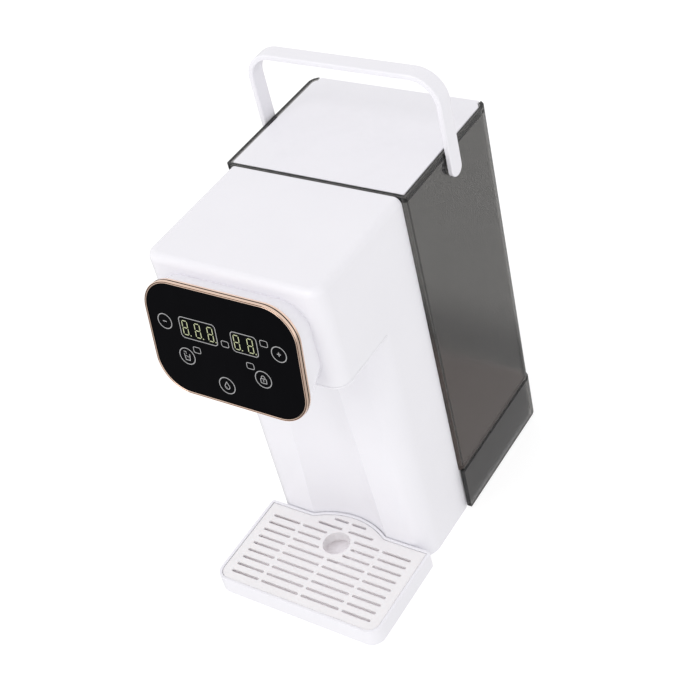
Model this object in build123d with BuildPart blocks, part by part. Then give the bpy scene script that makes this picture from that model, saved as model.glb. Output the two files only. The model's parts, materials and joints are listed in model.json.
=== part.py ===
from build123d import *
import os
from math import atan2, cos, radians, sin, sqrt

os.makedirs("parts", exist_ok=True)

# Tabletop hot water dispenser, in millimetres. X is to the right of someone who faces it, Y runs
# from its front to its back and Z is up. The origin is the middle of its footprint, on the table.

# Whole appliance
tank_width = 160.0
tank_depth = 127.0
body_side_inset = 4.0
body_depth = 112.0
skirt_flare = 1.2
tray_reach = 45.0
foot_height = 2.5

# Walls and clearances
wall = 2.5
tank_wall = 3.0
tank_gap = 0.6
fit_gap = 0.3
seam_gap = 0.2
hose_gap = 0.1
press_gap = 0.02

# Head and column
head_overhang = 47.0
head_underside = 240.0
head_height = 90.0
head_corner_radius = 12.0
column_corner_radius = 18.0
top_edge_radius = 6.0
cover_thickness = 3.0
cover_seam = 0.2
cover_edge_radius = 2.2
niche_radius = 68.0
niche_depth = 11.0
niche_depth_at_top = 5.0

# Control panel
panel_width = 134.0
panel_height = 96.0
panel_corner_radius = 27.0
panel_tilt = 8.5
panel_forward = 22.0
panel_centre_rise = 38.5
ring_width = 2.0
ring_front = 2.5
ring_back = 2.5
ring_edge_radius = 0.8
glass_thickness = 2.0
pod_inset = 1.5
pod_root_width = 126.0
pod_root_height = 72.0
pod_root_rise = 4.5
pocket_width = 112.0
pocket_height = 52.0
pocket_depth = 9.0
pocket_hole_inset = 4.0
pocket_drop = 6.0
board_thickness = 1.6
display_depth = 6.0
digit_window_height = 18.0
volume_window_width = 34.0
temperature_window_width = 24.0
volume_window_x = -21.5
temperature_window_x = 19.5
display_row = 11.5
led_size = (3.2, 2.6)
middle_led = (0.5, 5.5)
plus_led = (37.0, 14.5)
volume_led = (-26.0, -6.0)
lock_led = (21.5, -6.8)
cable_window_width = 74.0
cable_window_drop = 12.0
cable_window_rise = 24.0

# Tank and lid
tank_floor_height = 49.0
skirt_bottom = 5.0
tank_front_radius = 3.0
tank_back_radius = 9.0
lid_thickness = 2.5
lid_gap = 0.8
ledge_width = 2.5
ledge_height = 3.0
lid_skirt_height = 5.0
lid_skirt_thickness = 3.0
seal_height = 1.5
seal_groove_rise = 1.2
seal_groove_depth = 1.0
lid_tab_side_inset = 6.0
lid_tab_corner = 2.0
cord_notch_width = 18.0
cord_notch_height = 22.0
cord_x = 45.0

# Carrying handle
handle_reach = 77.0
pivot_from_top = 16.0
strap_width = 14.4
strap_thickness = 4.5
handle_corner_radius = 22.0
strap_edge_radius = 1.2
handle_side_gap = 0.5
pin_radius = 4.0
pin_clearance = 0.08
pin_length = 4.0
pin_end_gap = 0.8
pivot_boss_radius = 6.8
pivot_boss_depth = 3.0

# Base under the tank
platform_side_gap = 1.5
hose_window_side_margin = 12.0
hose_window_top_margin = 6.0
hose_window_low_margin = 3.0
platform_corner_radius = 6.0
bottom_plate_thickness = 2.5
foot_radius = 8.0
foot_inset = 18.0
front_feet_setback = 10.0
base_screws_from_body = 14.0
base_screws_from_back = 18.0

# Check valve in the tank's floor and its socket in the base
valve_x = 30.0
valve_from_tank_front = 38.0
valve_body_radius = 9.0
valve_bore_radius = 6.0
valve_throat_radius = 3.5
valve_drop = 11.0
valve_seat_height = 5.0
valve_rise = 12.0
valve_flange_radius = 13.0
valve_flange_thickness = 2.0
valve_window_width = 5.0
valve_lift = 4.0
plunger_radius = 5.4
plunger_thickness = 2.0
stem_radius = 2.0
valve_seal_thickness = 1.5
spring_wire = 0.8
spring_turns = 5
push_pin_radius = 1.5
filter_radius = 15.0
filter_height = 20.0
filter_wall = 1.2
filter_slots = 12
socket_depth = 13.0
socket_wall = 3.0
socket_sump = 10.0
port_seal_width = 2.0
port_seal_height = 3.0

# Cord gland
gland_rise = 7.5
gland_radius = 4.5
gland_bore = 3.2
gland_lip = 2.0

# Level float
float_x = -30.0
float_from_tank_front = 19.0
float_radius = 12.0
float_height = 12.0
float_post_radius = 2.5
float_travel = 16.0
float_foot_height = 2.0
magnet_radius = 6.5
magnet_height = 3.0
reed_length = 18.0
reed_thickness = 5.0

# Drip tray and grid
tray_width = 160.0
tray_height = 18.5
tray_clearance = 0.6
tray_floor_height = 0.8
tray_corner_radius = 12.0
tray_back_radius = 2.5
tray_wall = 2.5
tray_floor = 2.0
tray_ledge = 1.5
tray_pad_spacing = (120.0, 56.0)
tray_pad_radius = 4.0
grid_thickness = 2.0
grid_recess = 0.5
slot_width = 2.6
slot_pitch = 8.15
slot_rows = 9
long_slot = 37.0
short_slot = 27.5
slot_bridge = 3.0
finger_hole_radius = 12.0
finger_hole_from_front = 70.0
finger_hole_margin = 3.2
first_row_from_front = 11.5
bulge_slots = (26.2, 14.4)
collar_wall = 1.6
collar_depth = 10.0

# Spout and steam chamber
spout_from_head_front = 20.0
spout_radius = 7.5
spout_bore_radius = 4.0
spout_drop = 9.0
spout_flange_radius = 12.0
spout_flange_thickness = 2.0
chamber_radius = 17.0
chamber_height = 30.0
chamber_stub_drop = 12.0
chamber_wall = 2.0

# Hoses and the stubs that they are pushed on
stub_radius = 3.5
stub_bore_radius = 2.2
stub_length = 9.0
hose_wall = 1.8
hose_bend = 12.0

# Pump
pump_height = 30.0
pump_y_from_column_front = 39.0
pump_head_radius = 15.0
pump_head_length = 24.0
pump_head_wall = 2.5
pump_motor_radius = 12.0
pump_motor_length = 34.0
pump_right_face = 4.0
shaft_radius = 1.2
shaft_clearance = 0.06
impeller_radius = 11.0
impeller_width = 6.0
impeller_blades = 6
impeller_gap = 3.0
blade_thickness = 1.2
armature_radius = 8.0
armature_gap = 1.5
armature_end_gap = 2.5
motor_can_wall = 1.5

# Instant heater
heater_x = 42.0
heater_from_column_front = 29.0
heater_radius = 15.0
heater_low = 100.0
heater_length = 115.0
heater_wall = 1.2
cap_height = 9.0
cap_lip = 1.5
sensor_radius = 2.0
sensor_length = 6.0
bracket_side_inset = 4.0
clip_width = 10.0
clip_thickness = 2.4
cutout_radius = 7.0
cutout_height = 6.0

# Circuit boards
power_board_width = 72.0
power_board_height = 130.0
power_board_x = -22.0
power_board_low = 95.0
board_screw_inset = 5.0
board_row_low = 12.0
board_row_middle = 60.0
board_row_high = 84.0
board_column_step = 15.0
transformer_size = (26.0, 19.0, 22.0)
relay_size = (18.0, 16.0, 24.0)
capacitor_radius = 5.0
capacitor_height = 16.0
capacitor_pitch = 14.0
chip_size = (16.0, 7.0, 8.0)
chip_pitch = 24.0
standoff_radius = 3.5
standoff_length = 5.0
ribbon_width = 14.0
ribbon_thickness = 0.8
ribbon_x = -18.0
ribbon_overlap = 14.0
ribbon_ceiling_gap = 13.0
ribbon_bend = 6.0

# Screws
screw_radius = 1.5
screw_head_radius = 2.8
screw_head_height = 1.4
screw_length = 9.0
screw_boss_radius = 4.0
screw_boss_length = 10.0
screw_boss_sink = 0.8
low_bosses_rise = 13.0
high_bosses_drop = 10.0
pan_head_height = 1.8

# Positions along Y that follow from the sizes above
overall_depth = tray_reach + body_depth + tank_gap + tank_depth + skirt_flare
tray_front = -overall_depth / 2
head_front = tray_front + tray_reach
column_front = head_front + head_overhang
body_back = head_front + body_depth
tank_front = body_back + tank_gap
tank_back = tank_front + tank_depth
skirt_back = tank_back + skirt_flare
platform_back = tank_back - tank_wall - platform_side_gap
tray_back = column_front - tray_clearance

# Heights and widths that follow
body_width = tank_width - 2 * body_side_inset
lid_tab_width = tank_width - 2 * lid_tab_side_inset
top_height = head_underside + head_height
panel_centre_height = head_underside + panel_centre_rise
handle_pivot_height = top_height - pivot_from_top
cover_top = head_underside + cover_thickness + cover_seam
platform_top = tank_floor_height - fit_gap
platform_width = tank_width - 2 * (tank_wall + platform_side_gap)
plate_top = foot_height + bottom_plate_thickness
ledge_top = top_height - lid_thickness - fit_gap
tank_floor_top = tank_floor_height + tank_wall
cavity_width = body_width - 2 * wall
handle_y = (tank_front + tank_back) / 2
valve_y = tank_front + valve_from_tank_front
float_y = tank_front + float_from_tank_front
spout_y = head_front + spout_from_head_front
pump_y = column_front + pump_y_from_column_front
heater_y = column_front + heater_from_column_front
hose_bore = stub_radius + hose_gap
hose_radius = hose_bore + hose_wall
pocket_row = display_row - pocket_drop
pilot_radius = screw_radius + press_gap

# The scoop down the column's front is part of a leaning cylinder, deepest at the bottom
niche_lean = atan2(niche_depth - niche_depth_at_top, head_underside - foot_height)
niche_run_in = 20.0
niche_length = top_height
niche_axis = Plane(
    origin=(0, column_front + niche_depth - niche_radius, foot_height),
    x_dir=(1, 0, 0),
    z_dir=(0, -sin(niche_lean), cos(niche_lean)),
).offset(-niche_run_in)

# The control panel's own plane, with its local Y up the glass and its normal towards the user
panel_plane = Plane(
    origin=(0, head_front - panel_forward, panel_centre_height),
    x_dir=(1, 0, 0),
    z_dir=(0, -cos(radians(panel_tilt)), sin(radians(panel_tilt))),
)


def plan_outline(width, front, back, front_radius=0.0, back_radius=0.0):
    """Plan of a box-like piece, with its own front and back corner radii."""
    with BuildSketch() as plan:
        with Locations((0, (front + back) / 2)):
            Rectangle(width, back - front)
        if front_radius > 0:
            fillet(plan.vertices().group_by(Axis.Y)[0], front_radius)
        if back_radius > 0:
            fillet(plan.vertices().group_by(Axis.Y)[-1], back_radius)
    return plan.sketch


def block(x_range, y_range, z_range, mode=Mode.ADD):
    """Box between two corners, added to the part under construction."""
    centre = [(low + high) / 2 for low, high in (x_range, y_range, z_range)]
    size = [high - low for low, high in (x_range, y_range, z_range)]
    with Locations(tuple(centre)):
        Box(*size, mode=mode)


def facing_back(x, y, z):
    """Plane at a point, with its normal towards the back."""
    return Plane(origin=(x, y, z), x_dir=(1, 0, 0), z_dir=(0, 1, 0))


def facing_front(x, y, z):
    """Plane at a point, with its normal towards the front."""
    return Plane(origin=(x, y, z), x_dir=(1, 0, 0), z_dir=(0, -1, 0))


def facing_right(x, y, z):
    """Plane at a point, with its normal to the right."""
    return Plane(origin=(x, y, z), x_dir=(0, 1, 0), z_dir=(1, 0, 0))


def rod(plane, radius, length, mode=Mode.ADD):
    """Round bar or hole that starts on a plane and runs along its normal."""
    with BuildSketch(plane) as section:
        Circle(radius)
    extrude(section.sketch, amount=length, mode=mode)


def rod_in(plane, radius, length, bore=0.0):
    """Separate round bar or tube on a plane."""
    with BuildPart() as bar:
        with BuildSketch(plane):
            Circle(radius)
            if bore > 0:
                Circle(bore, mode=Mode.SUBTRACT)
        extrude(amount=length)
    return bar.part


def hose(points, bend):
    """Hose along straight runs and tangent arcs."""
    with BuildPart() as tube:
        with BuildLine() as route:
            FilletPolyline(*points, radius=bend)
        start = Plane(origin=route.line @ 0, z_dir=route.line % 0)
        with BuildSketch(start):
            Circle(hose_radius)
            Circle(hose_bore, mode=Mode.SUBTRACT)
        sweep(path=route.line)
    return tube.part


def countersunk_screw(length):
    """Countersunk screw along -Z, with its flat top at the origin and a cross recess."""
    with BuildPart() as screw:
        with BuildSketch(Plane.XZ):
            with BuildLine():
                Polyline(
                    (0, 0),
                    (screw_head_radius, 0),
                    (screw_radius, -screw_head_height),
                    (screw_radius, -length),
                    (0, -length),
                    close=True,
                )
            make_face()
        revolve(axis=Axis.Z)
        for x_size, y_size in ((screw_head_radius, 0.6), (0.6, screw_head_radius)):
            Box(x_size, y_size, screw_head_height, mode=Mode.SUBTRACT)
    return screw.part


def countersunk_holes(planes, depth):
    """Clearance holes for countersunk screws, each with its mouth on a plane."""
    with Locations(*planes):
        CounterSinkHole(
            radius=screw_radius + seam_gap,
            counter_sink_radius=screw_head_radius + seam_gap,
            depth=depth,
        )


# Column with the scoop down its front, as a solid block
with BuildPart() as column_block:
    with BuildSketch(Plane.XY.offset(foot_height)):
        add(plan_outline(body_width, column_front, body_back, column_corner_radius))
    extrude(amount=cover_top - foot_height)
    with BuildSketch(niche_axis):
        Circle(niche_radius)
    extrude(amount=niche_length, mode=Mode.SUBTRACT)

# Room inside the column and the head
with BuildPart() as body_cavity:
    with BuildSketch(Plane.XY.offset(foot_height)):
        add(plan_outline(cavity_width, column_front + wall, body_back, column_corner_radius - wall))
    extrude(amount=cover_top - foot_height)
    with BuildSketch(niche_axis):
        Circle(niche_radius + wall)
    extrude(amount=niche_length, mode=Mode.SUBTRACT)
    with BuildSketch(Plane.XY.offset(cover_top)):
        add(plan_outline(cavity_width, head_front + wall, body_back, head_corner_radius - wall))
    extrude(amount=top_height - wall - cover_top)

# Screw places on the back of the body: near both sides, at four heights
boss_x = cavity_width / 2 - screw_boss_radius + screw_boss_sink
boss_low = plate_top + low_bosses_rise
boss_high = top_height - wall - high_bosses_drop
boss_step = (boss_high - boss_low) / 3
shell_screw_places = [
    (side * boss_x, boss_low + step * boss_step) for side in (-1, 1) for step in range(4)
]
rear_panel_front = body_back - wall

# Body shell: head and column in one moulding, open at the back and under the head
with BuildPart() as body_shell:
    add(column_block.part)
    with BuildSketch(Plane.XY.offset(cover_top)):
        add(plan_outline(body_width, head_front, body_back, head_corner_radius))
    extrude(amount=top_height - cover_top)
    top_rim = body_shell.faces().sort_by(Axis.Z)[-1].edges()
    fillet(top_rim.filter_by(lambda edge: edge.center().Y < body_back - 0.01), top_edge_radius)
    add(body_cavity.part, mode=Mode.SUBTRACT)
    for x, z in shell_screw_places:
        boss_face = facing_front(x, rear_panel_front, z)
        rod(boss_face, screw_boss_radius, screw_boss_length)
        rod(boss_face, pilot_radius, screw_boss_length - 1.5, Mode.SUBTRACT)
    block(
        (-cable_window_width / 2, cable_window_width / 2),
        (head_front - 1, head_front + wall + 1),
        (panel_centre_height - cable_window_drop, panel_centre_height + cable_window_rise),
        Mode.SUBTRACT,
    )
body_shell.part.label = "body_shell"

# Cover under the head, with the hole for the spout
niche_axis_at_cover = column_front + niche_depth_at_top - niche_radius
with BuildPart() as head_bottom_cover:
    with BuildSketch(Plane.XY.offset(head_underside)) as cover_plan:
        add(
            plan_outline(
                body_width, head_front, column_front + column_corner_radius, head_corner_radius
            )
        )
        with Locations((0, (column_front + body_back) / 2)):
            Rectangle(body_width + 2 * column_corner_radius, body_back - column_front, mode=Mode.SUBTRACT)
    extrude(amount=cover_thickness)
    with BuildSketch(Plane.XY.offset(head_underside)):
        add(plan_outline(body_width, column_front - 1, column_front + column_corner_radius))
        column_plan = plan_outline(body_width, column_front, body_back, column_corner_radius)
        add(offset(column_plan, amount=seam_gap, mode=Mode.PRIVATE), mode=Mode.SUBTRACT)
    extrude(amount=cover_thickness)
    with BuildSketch(Plane.XY.offset(head_underside)):
        with Locations((0, niche_axis_at_cover)):
            Circle(niche_radius - seam_gap - 0.1)
        with Locations((0, column_front + niche_radius / 2 - 1)):
            Rectangle(body_width, niche_radius, mode=Mode.INTERSECT)
    extrude(amount=cover_thickness)
    cover_rim = head_bottom_cover.faces().sort_by(Axis.Z)[0].edges()
    fillet(
        cover_rim.filter_by(lambda edge: edge.center().Y < column_front - 2), cover_edge_radius
    )
    rod(Plane((0, spout_y, head_underside)), spout_radius + seam_gap, cover_thickness, Mode.SUBTRACT)
head_bottom_cover.part.label = "head_bottom_cover"

# Rear panel, hidden by the tank: closes the body, carries the power board and the heater
window_top = platform_top - hose_window_top_margin
window_low = plate_top + hose_window_low_margin
window_half_width = platform_width / 2 - hose_window_side_margin
board_mid_z = power_board_low + power_board_height / 2
board_screw_x = power_board_width / 2 - board_screw_inset
board_screw_z = power_board_height / 2 - board_screw_inset
board_screw_places = [
    (power_board_x + i * board_screw_x, board_mid_z + j * board_screw_z)
    for i in (-1, 1)
    for j in (-1, 1)
]
with BuildPart() as rear_panel:
    with BuildSketch(facing_front(0, body_back, 0)):
        panel_low = plate_top + seam_gap
        panel_high = top_height - wall - seam_gap
        with Locations((0, (panel_low + panel_high) / 2)):
            Rectangle(cavity_width - 2 * seam_gap, panel_high - panel_low)
        with Locations((0, (window_low + window_top) / 2)):
            Rectangle(2 * window_half_width, window_top - window_low, mode=Mode.SUBTRACT)
    extrude(amount=wall)
    for x, z in board_screw_places:
        standoff_foot = facing_front(x, rear_panel_front, z)
        rod(standoff_foot, standoff_radius, standoff_length)
        rod(standoff_foot, pilot_radius, standoff_length, Mode.SUBTRACT)
    shell_screw_planes = [facing_back(x, body_back, z) for x, z in shell_screw_places]
    countersunk_holes(shell_screw_planes, wall + 1)
rear_panel.part.label = "rear_panel"

with BuildPart() as shell_screws:
    with Locations(*shell_screw_planes):
        add(countersunk_screw(screw_length))
shell_screws.part.label = "shell_screws"

# Base platform under the tank, open below and towards the body
socket_radius = valve_body_radius + fit_gap + port_seal_width + socket_wall
gland_height = plate_top + gland_rise
base_screw_x = platform_width / 2 - wall - screw_boss_radius + screw_boss_sink
base_screw_rows = (body_back + base_screws_from_body, platform_back - base_screws_from_back)
base_screw_places = [(side * base_screw_x, y) for side in (-1, 1) for y in base_screw_rows]
base_screw_planes = [
    Plane((x, y, foot_height), x_dir=(1, 0, 0), z_dir=(0, 0, -1)) for x, y in base_screw_places
]
with BuildPart() as base_platform:
    with BuildSketch(Plane.XY.offset(foot_height)):
        add(plan_outline(platform_width, body_back, platform_back, 0, platform_corner_radius))
    extrude(amount=platform_top - foot_height)
    platform_rim = base_platform.faces().sort_by(Axis.Z)[-1].edges()
    fillet(platform_rim.filter_by(lambda edge: edge.center().Y > body_back + 0.01), 1.0)
    with BuildSketch(Plane.XY.offset(foot_height)):
        add(
            plan_outline(
                platform_width - 2 * wall, body_back, platform_back - wall, 0, platform_corner_radius - wall
            )
        )
    extrude(amount=platform_top - wall - foot_height, mode=Mode.SUBTRACT)
    for x, y in base_screw_places:
        rod(Plane((x, y, plate_top)), screw_boss_radius, platform_top - wall - plate_top)
        rod(Plane((x, y, plate_top)), pilot_radius, screw_length + 1, Mode.SUBTRACT)
    rod(Plane((valve_x, valve_y, foot_height)), socket_radius + press_gap, platform_top, Mode.SUBTRACT)
    gland_start = facing_back(cord_x, platform_back - wall - 1, gland_height)
    rod(gland_start, gland_radius + press_gap, wall + 2, Mode.SUBTRACT)
base_platform.part.label = "base_platform"

# Bottom plate, screwed up into the platform, with the feet stuck to it
foot_places = [
    (side * (platform_width / 2 - foot_inset), y)
    for side in (-1, 1)
    for y in (column_front + foot_inset + front_feet_setback, platform_back - foot_inset)
]
with BuildPart() as bottom_plate:
    with BuildSketch(Plane.XY.offset(foot_height)):
        add(
            plan_outline(
                cavity_width - 2 * seam_gap,
                column_front + wall + seam_gap,
                body_back,
                column_corner_radius - wall,
            )
        )
        add(
            plan_outline(
                platform_width - 2 * (wall + seam_gap),
                body_back - 1,
                platform_back - wall - seam_gap,
                0,
                platform_corner_radius - wall,
            )
        )
        with Locations((0, column_front + niche_depth - niche_radius)):
            Circle(niche_radius + wall + 3 * seam_gap, mode=Mode.SUBTRACT)
    extrude(amount=bottom_plate_thickness)
    countersunk_holes(base_screw_planes, bottom_plate_thickness + 1)
bottom_plate.part.label = "bottom_plate"

with BuildPart() as base_screws:
    with Locations(*base_screw_planes):
        add(countersunk_screw(screw_length))
base_screws.part.label = "base_screws"

with BuildPart() as rubber_feet:
    with BuildSketch():
        with Locations(*foot_places):
            Circle(foot_radius)
    extrude(amount=foot_height)
    chamfer(rubber_feet.faces().group_by(Axis.Z)[0].edges(), 0.6)
rubber_feet.part.label = "rubber_feet"

# Control panel: a hollow pod on the head's front, a pocket for the displays, the ring and the glass
pod_face = panel_plane.offset(-ring_back)
pod_root = facing_front(0, head_front, panel_centre_height + pod_root_rise)
plinth_inset = ring_width + seam_gap + 1.0


def pod_loft(inset, front_plane, root_plane):
    """Block between the panel's outline and a smaller outline on the head."""
    with BuildPart() as body:
        with BuildSketch(front_plane):
            RectangleRounded(
                panel_width - 2 * (pod_inset + inset),
                panel_height - 2 * (pod_inset + inset),
                panel_corner_radius - pod_inset - inset,
            )
        with BuildSketch(root_plane):
            RectangleRounded(
                pod_root_width - 2 * inset, pod_root_height - 2 * inset, panel_corner_radius - 6 - inset
            )
        loft(ruled=True)
    return body.part


with BuildPart() as panel_pod:
    add(pod_loft(0, pod_face, pod_root))
    add(pod_loft(wall, pod_face.offset(-wall), pod_root.offset(-0.01)), mode=Mode.SUBTRACT)
    with BuildSketch(pod_face):
        RectangleRounded(
            panel_width - 2 * plinth_inset,
            panel_height - 2 * plinth_inset,
            panel_corner_radius - plinth_inset,
        )
    extrude(amount=ring_back)
    with BuildSketch(pod_face):
        with Locations((0, pocket_row)):
            Rectangle(pocket_width + 2 * wall, pocket_height + 2 * wall)
    extrude(amount=-(pocket_depth - ring_back + wall))
    with BuildSketch(panel_plane):
        with Locations((0, pocket_row)):
            Rectangle(pocket_width, pocket_height)
    extrude(amount=-pocket_depth, mode=Mode.SUBTRACT)
    with BuildSketch(panel_plane.offset(-pocket_depth)):
        with Locations((0, pocket_row)):
            Rectangle(pocket_width / 2, ribbon_width)
    extrude(amount=-wall - 1, mode=Mode.SUBTRACT)
panel_pod.part.label = "panel_pod"

with BuildPart() as bezel_ring:
    with BuildSketch(pod_face):
        RectangleRounded(panel_width, panel_height, panel_corner_radius)
        RectangleRounded(
            panel_width - 2 * ring_width,
            panel_height - 2 * ring_width,
            panel_corner_radius - ring_width,
            mode=Mode.SUBTRACT,
        )
    extrude(amount=ring_back + ring_front)
    front_rim = bezel_ring.faces().sort_by(Axis.Y)[0]
    fillet(front_rim.edges(), ring_edge_radius)
bezel_ring.part.label = "bezel_ring"

with BuildPart() as panel_glass:
    with BuildSketch(panel_plane):
        glass_inset = ring_width + seam_gap
        RectangleRounded(
            panel_width - 2 * glass_inset,
            panel_height - 2 * glass_inset,
            panel_corner_radius - glass_inset,
        )
    extrude(amount=glass_thickness)
    chamfer(panel_glass.faces().sort_by(Axis.Y)[0].edges(), 0.3)
panel_glass.part.label = "panel_glass"

touch_board_face = panel_plane.offset(-display_depth)
with BuildPart() as touch_board:
    with BuildSketch(touch_board_face):
        with Locations((0, pocket_row)):
            Rectangle(pocket_width - 1, pocket_height - 1)
    extrude(amount=-board_thickness)
    with BuildSketch(panel_plane.offset(-pocket_depth)):
        with Locations((0, pocket_row)):
            hole_spread = pocket_width - 2 * pocket_hole_inset
            hole_rise = pocket_height - 2 * pocket_hole_inset
            with GridLocations(hole_spread, hole_rise, 2, 2):
                Circle(2)
    extrude(amount=pocket_depth - display_depth - board_thickness)
touch_board.part.label = "touch_board"


def display_module(width):
    """Digit display that stands on the touch board, just behind the glass."""
    with BuildPart() as module:
        with BuildSketch(touch_board_face):
            Rectangle(width, digit_window_height)
        extrude(amount=display_depth)
        face = module.faces().sort_by(Axis.Y)[0]
        chamfer(face.edges(), 0.4)
    return module.part


def slide_on_panel(part, x, y):
    """Moves a piece within the panel's own plane."""
    step = panel_plane.from_local_coords(Vector(x, y, 0)) - panel_plane.origin
    return part.moved(Location(step))


with BuildPart() as volume_display:
    add(slide_on_panel(display_module(volume_window_width), volume_window_x, display_row))
volume_display.part.label = "volume_display"

with BuildPart() as temperature_display:
    add(slide_on_panel(display_module(temperature_window_width), temperature_window_x, display_row))
temperature_display.part.label = "temperature_display"

with BuildPart() as indicator_leds:
    with BuildSketch(touch_board_face):
        with Locations(middle_led, plus_led, volume_led, lock_led):
            Rectangle(*led_size)
    extrude(amount=display_depth - 1)
indicator_leds.part.label = "indicator_leds"

# Steam chamber on the head's cover, and the spout below it
flange_top = head_underside + cover_thickness + spout_flange_thickness
chamber_top = flange_top + chamber_height
chamber_stub_height = chamber_top - chamber_stub_drop
with BuildPart() as spout_nozzle:
    with BuildSketch(Plane.XZ):
        with BuildLine():
            Polyline(
                (spout_bore_radius, head_underside - spout_drop),
                (spout_radius - 1.2, head_underside - spout_drop),
                (spout_radius, head_underside - spout_drop + 5),
                (spout_radius, head_underside + cover_thickness),
                (spout_flange_radius, head_underside + cover_thickness),
                (spout_flange_radius, flange_top),
                (spout_bore_radius, flange_top),
                close=True,
            )
        make_face()
    revolve(axis=Axis.Z)
spout_nozzle.part = spout_nozzle.part.moved(Location((0, spout_y, 0)))
spout_nozzle.part.label = "spout_nozzle"

with BuildPart() as outlet_chamber:
    chamber_base = Plane((0, spout_y, flange_top))
    chamber_room = chamber_height - 2 * chamber_wall
    chamber_stub = facing_back(0, spout_y + chamber_radius - 1, chamber_stub_height)
    rod(chamber_base, chamber_radius, chamber_height)
    rod(chamber_base.offset(chamber_wall), chamber_radius - chamber_wall, chamber_room, Mode.SUBTRACT)
    rod(chamber_base, spout_bore_radius, chamber_wall, Mode.SUBTRACT)
    rod(chamber_stub, stub_radius, stub_length + 1)
    stub_bore_length = stub_length + chamber_wall + 1
    rod(chamber_stub.offset(-chamber_wall), stub_bore_radius, stub_bore_length, Mode.SUBTRACT)
    fillet(outlet_chamber.faces().sort_by(Axis.Z)[-1].edges(), 1.5)
outlet_chamber.part.label = "outlet_chamber"

# Instant heater: a steel barrel between two caps with stubs, on clips from the rear panel
heater_high = heater_low + heater_length
with BuildPart() as heater_barrel:
    barrel_base = Plane((heater_x, heater_y, heater_low))
    add(rod_in(barrel_base, heater_radius, heater_length, heater_radius - heater_wall))
heater_barrel.part.label = "heater_barrel"

with BuildPart() as heater_caps:
    for z, direction in ((heater_low, -1), (heater_high, 1)):
        outward = Plane((heater_x, heater_y, z), x_dir=(1, 0, 0), z_dir=(0, 0, direction))
        rod(outward, heater_radius + cap_lip, cap_height)
        rod(outward.offset(cap_height), stub_radius, stub_length)
        rod(outward, heater_radius - 4, cap_height - 3, Mode.SUBTRACT)
        rod(outward, stub_bore_radius, cap_height + stub_length, Mode.SUBTRACT)
heater_caps.part.label = "heater_caps"

clip_heights = (heater_low + heater_length * 0.2, heater_low + heater_length * 0.8)
with BuildPart() as heater_bracket:
    for z in clip_heights:
        level = Plane.XY.offset(z - clip_width / 2)
        with BuildSketch(level):
            with Locations((heater_x, (heater_y + rear_panel_front) / 2)):
                Rectangle(2 * (heater_radius - bracket_side_inset), rear_panel_front - heater_y)
            with Locations((heater_x, heater_y)):
                Circle(heater_radius + seam_gap + clip_thickness)
                Circle(heater_radius + seam_gap, mode=Mode.SUBTRACT)
            with Locations((heater_x, heater_y - heater_radius)):
                Rectangle(heater_radius, heater_radius, mode=Mode.SUBTRACT)
        extrude(amount=clip_width)
heater_bracket.part.label = "heater_bracket"

cutout_heights = (heater_low + heater_length * 0.42, heater_low + heater_length * 0.62)
with BuildPart() as thermal_cutouts:
    for z in cutout_heights:
        rod(facing_front(heater_x, heater_y - heater_radius, z), cutout_radius, cutout_height)
        cutout_front = heater_y - heater_radius - cutout_height
        for tab_x in (heater_x - cutout_radius / 2, heater_x + cutout_radius / 2):
            block((tab_x - 1.2, tab_x + 1.2), (cutout_front - 4, cutout_front), (z - 0.4, z + 0.4))
thermal_cutouts.part.label = "thermal_cutouts"

with BuildPart() as temperature_sensors:
    for z in (heater_low - cap_height / 2, heater_high + cap_height / 2):
        rod(facing_right(heater_x + heater_radius + cap_lip, heater_y, z), sensor_radius, sensor_length)
temperature_sensors.part.label = "temperature_sensors"

# Pump with its axis along X: motor on the left, wet head on the right
head_left = pump_right_face - pump_head_length
motor_left = head_left - pump_motor_length
motor_plane = facing_right(motor_left, pump_y, pump_height)
head_plane = facing_right(head_left, pump_y, pump_height)
shaft_hole_radius = shaft_radius + shaft_clearance
pump_outlet_x = pump_right_face - pump_head_length / 2
with BuildPart() as pump_head:
    rod(head_plane, pump_head_radius, pump_head_length)
    rod(head_plane.offset(pump_head_length - 1), stub_radius, stub_length + 1)
    pump_outlet = Plane((pump_outlet_x, pump_y, pump_height))
    rod(pump_outlet.offset(pump_head_radius - 1), stub_radius, stub_length + 1)
    wet_room = pump_head_length - 2 * pump_head_wall
    rod(head_plane.offset(pump_head_wall), impeller_radius + 1, wet_room, Mode.SUBTRACT)
    rod(head_plane, shaft_hole_radius, pump_head_wall, Mode.SUBTRACT)
    rod(head_plane.offset(wet_room), stub_bore_radius, stub_length + pump_head_length, Mode.SUBTRACT)
    rod(pump_outlet, stub_bore_radius, stub_length + pump_head_radius, Mode.SUBTRACT)
pump_head.part.label = "pump_head"

with BuildPart() as pump_motor:
    rod(motor_plane, pump_motor_radius, pump_motor_length)
    armature_room = pump_motor_length - 2 * motor_can_wall
    rod(motor_plane.offset(motor_can_wall), armature_radius + armature_gap, armature_room, Mode.SUBTRACT)
    rod(motor_plane, shaft_hole_radius, pump_motor_length, Mode.SUBTRACT)
pump_motor.part.label = "pump_motor"

impeller_plane = head_plane.offset(pump_head_wall + impeller_gap)
rotor_length = pump_motor_length + pump_head_wall + impeller_gap + impeller_width
with BuildPart() as pump_rotor:
    rod(motor_plane, shaft_radius, rotor_length)
    armature_start = motor_can_wall + armature_end_gap
    rod(motor_plane.offset(armature_start), armature_radius, pump_motor_length - 2 * armature_start)
    rod(impeller_plane, impeller_radius, blade_thickness)
    with BuildSketch(impeller_plane.offset(blade_thickness)):
        with PolarLocations(impeller_radius / 2 + 1, impeller_blades):
            Rectangle(impeller_radius - 2 * blade_thickness, blade_thickness)
    extrude(amount=impeller_width - blade_thickness)
pump_rotor.part.label = "pump_rotor"

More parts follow.
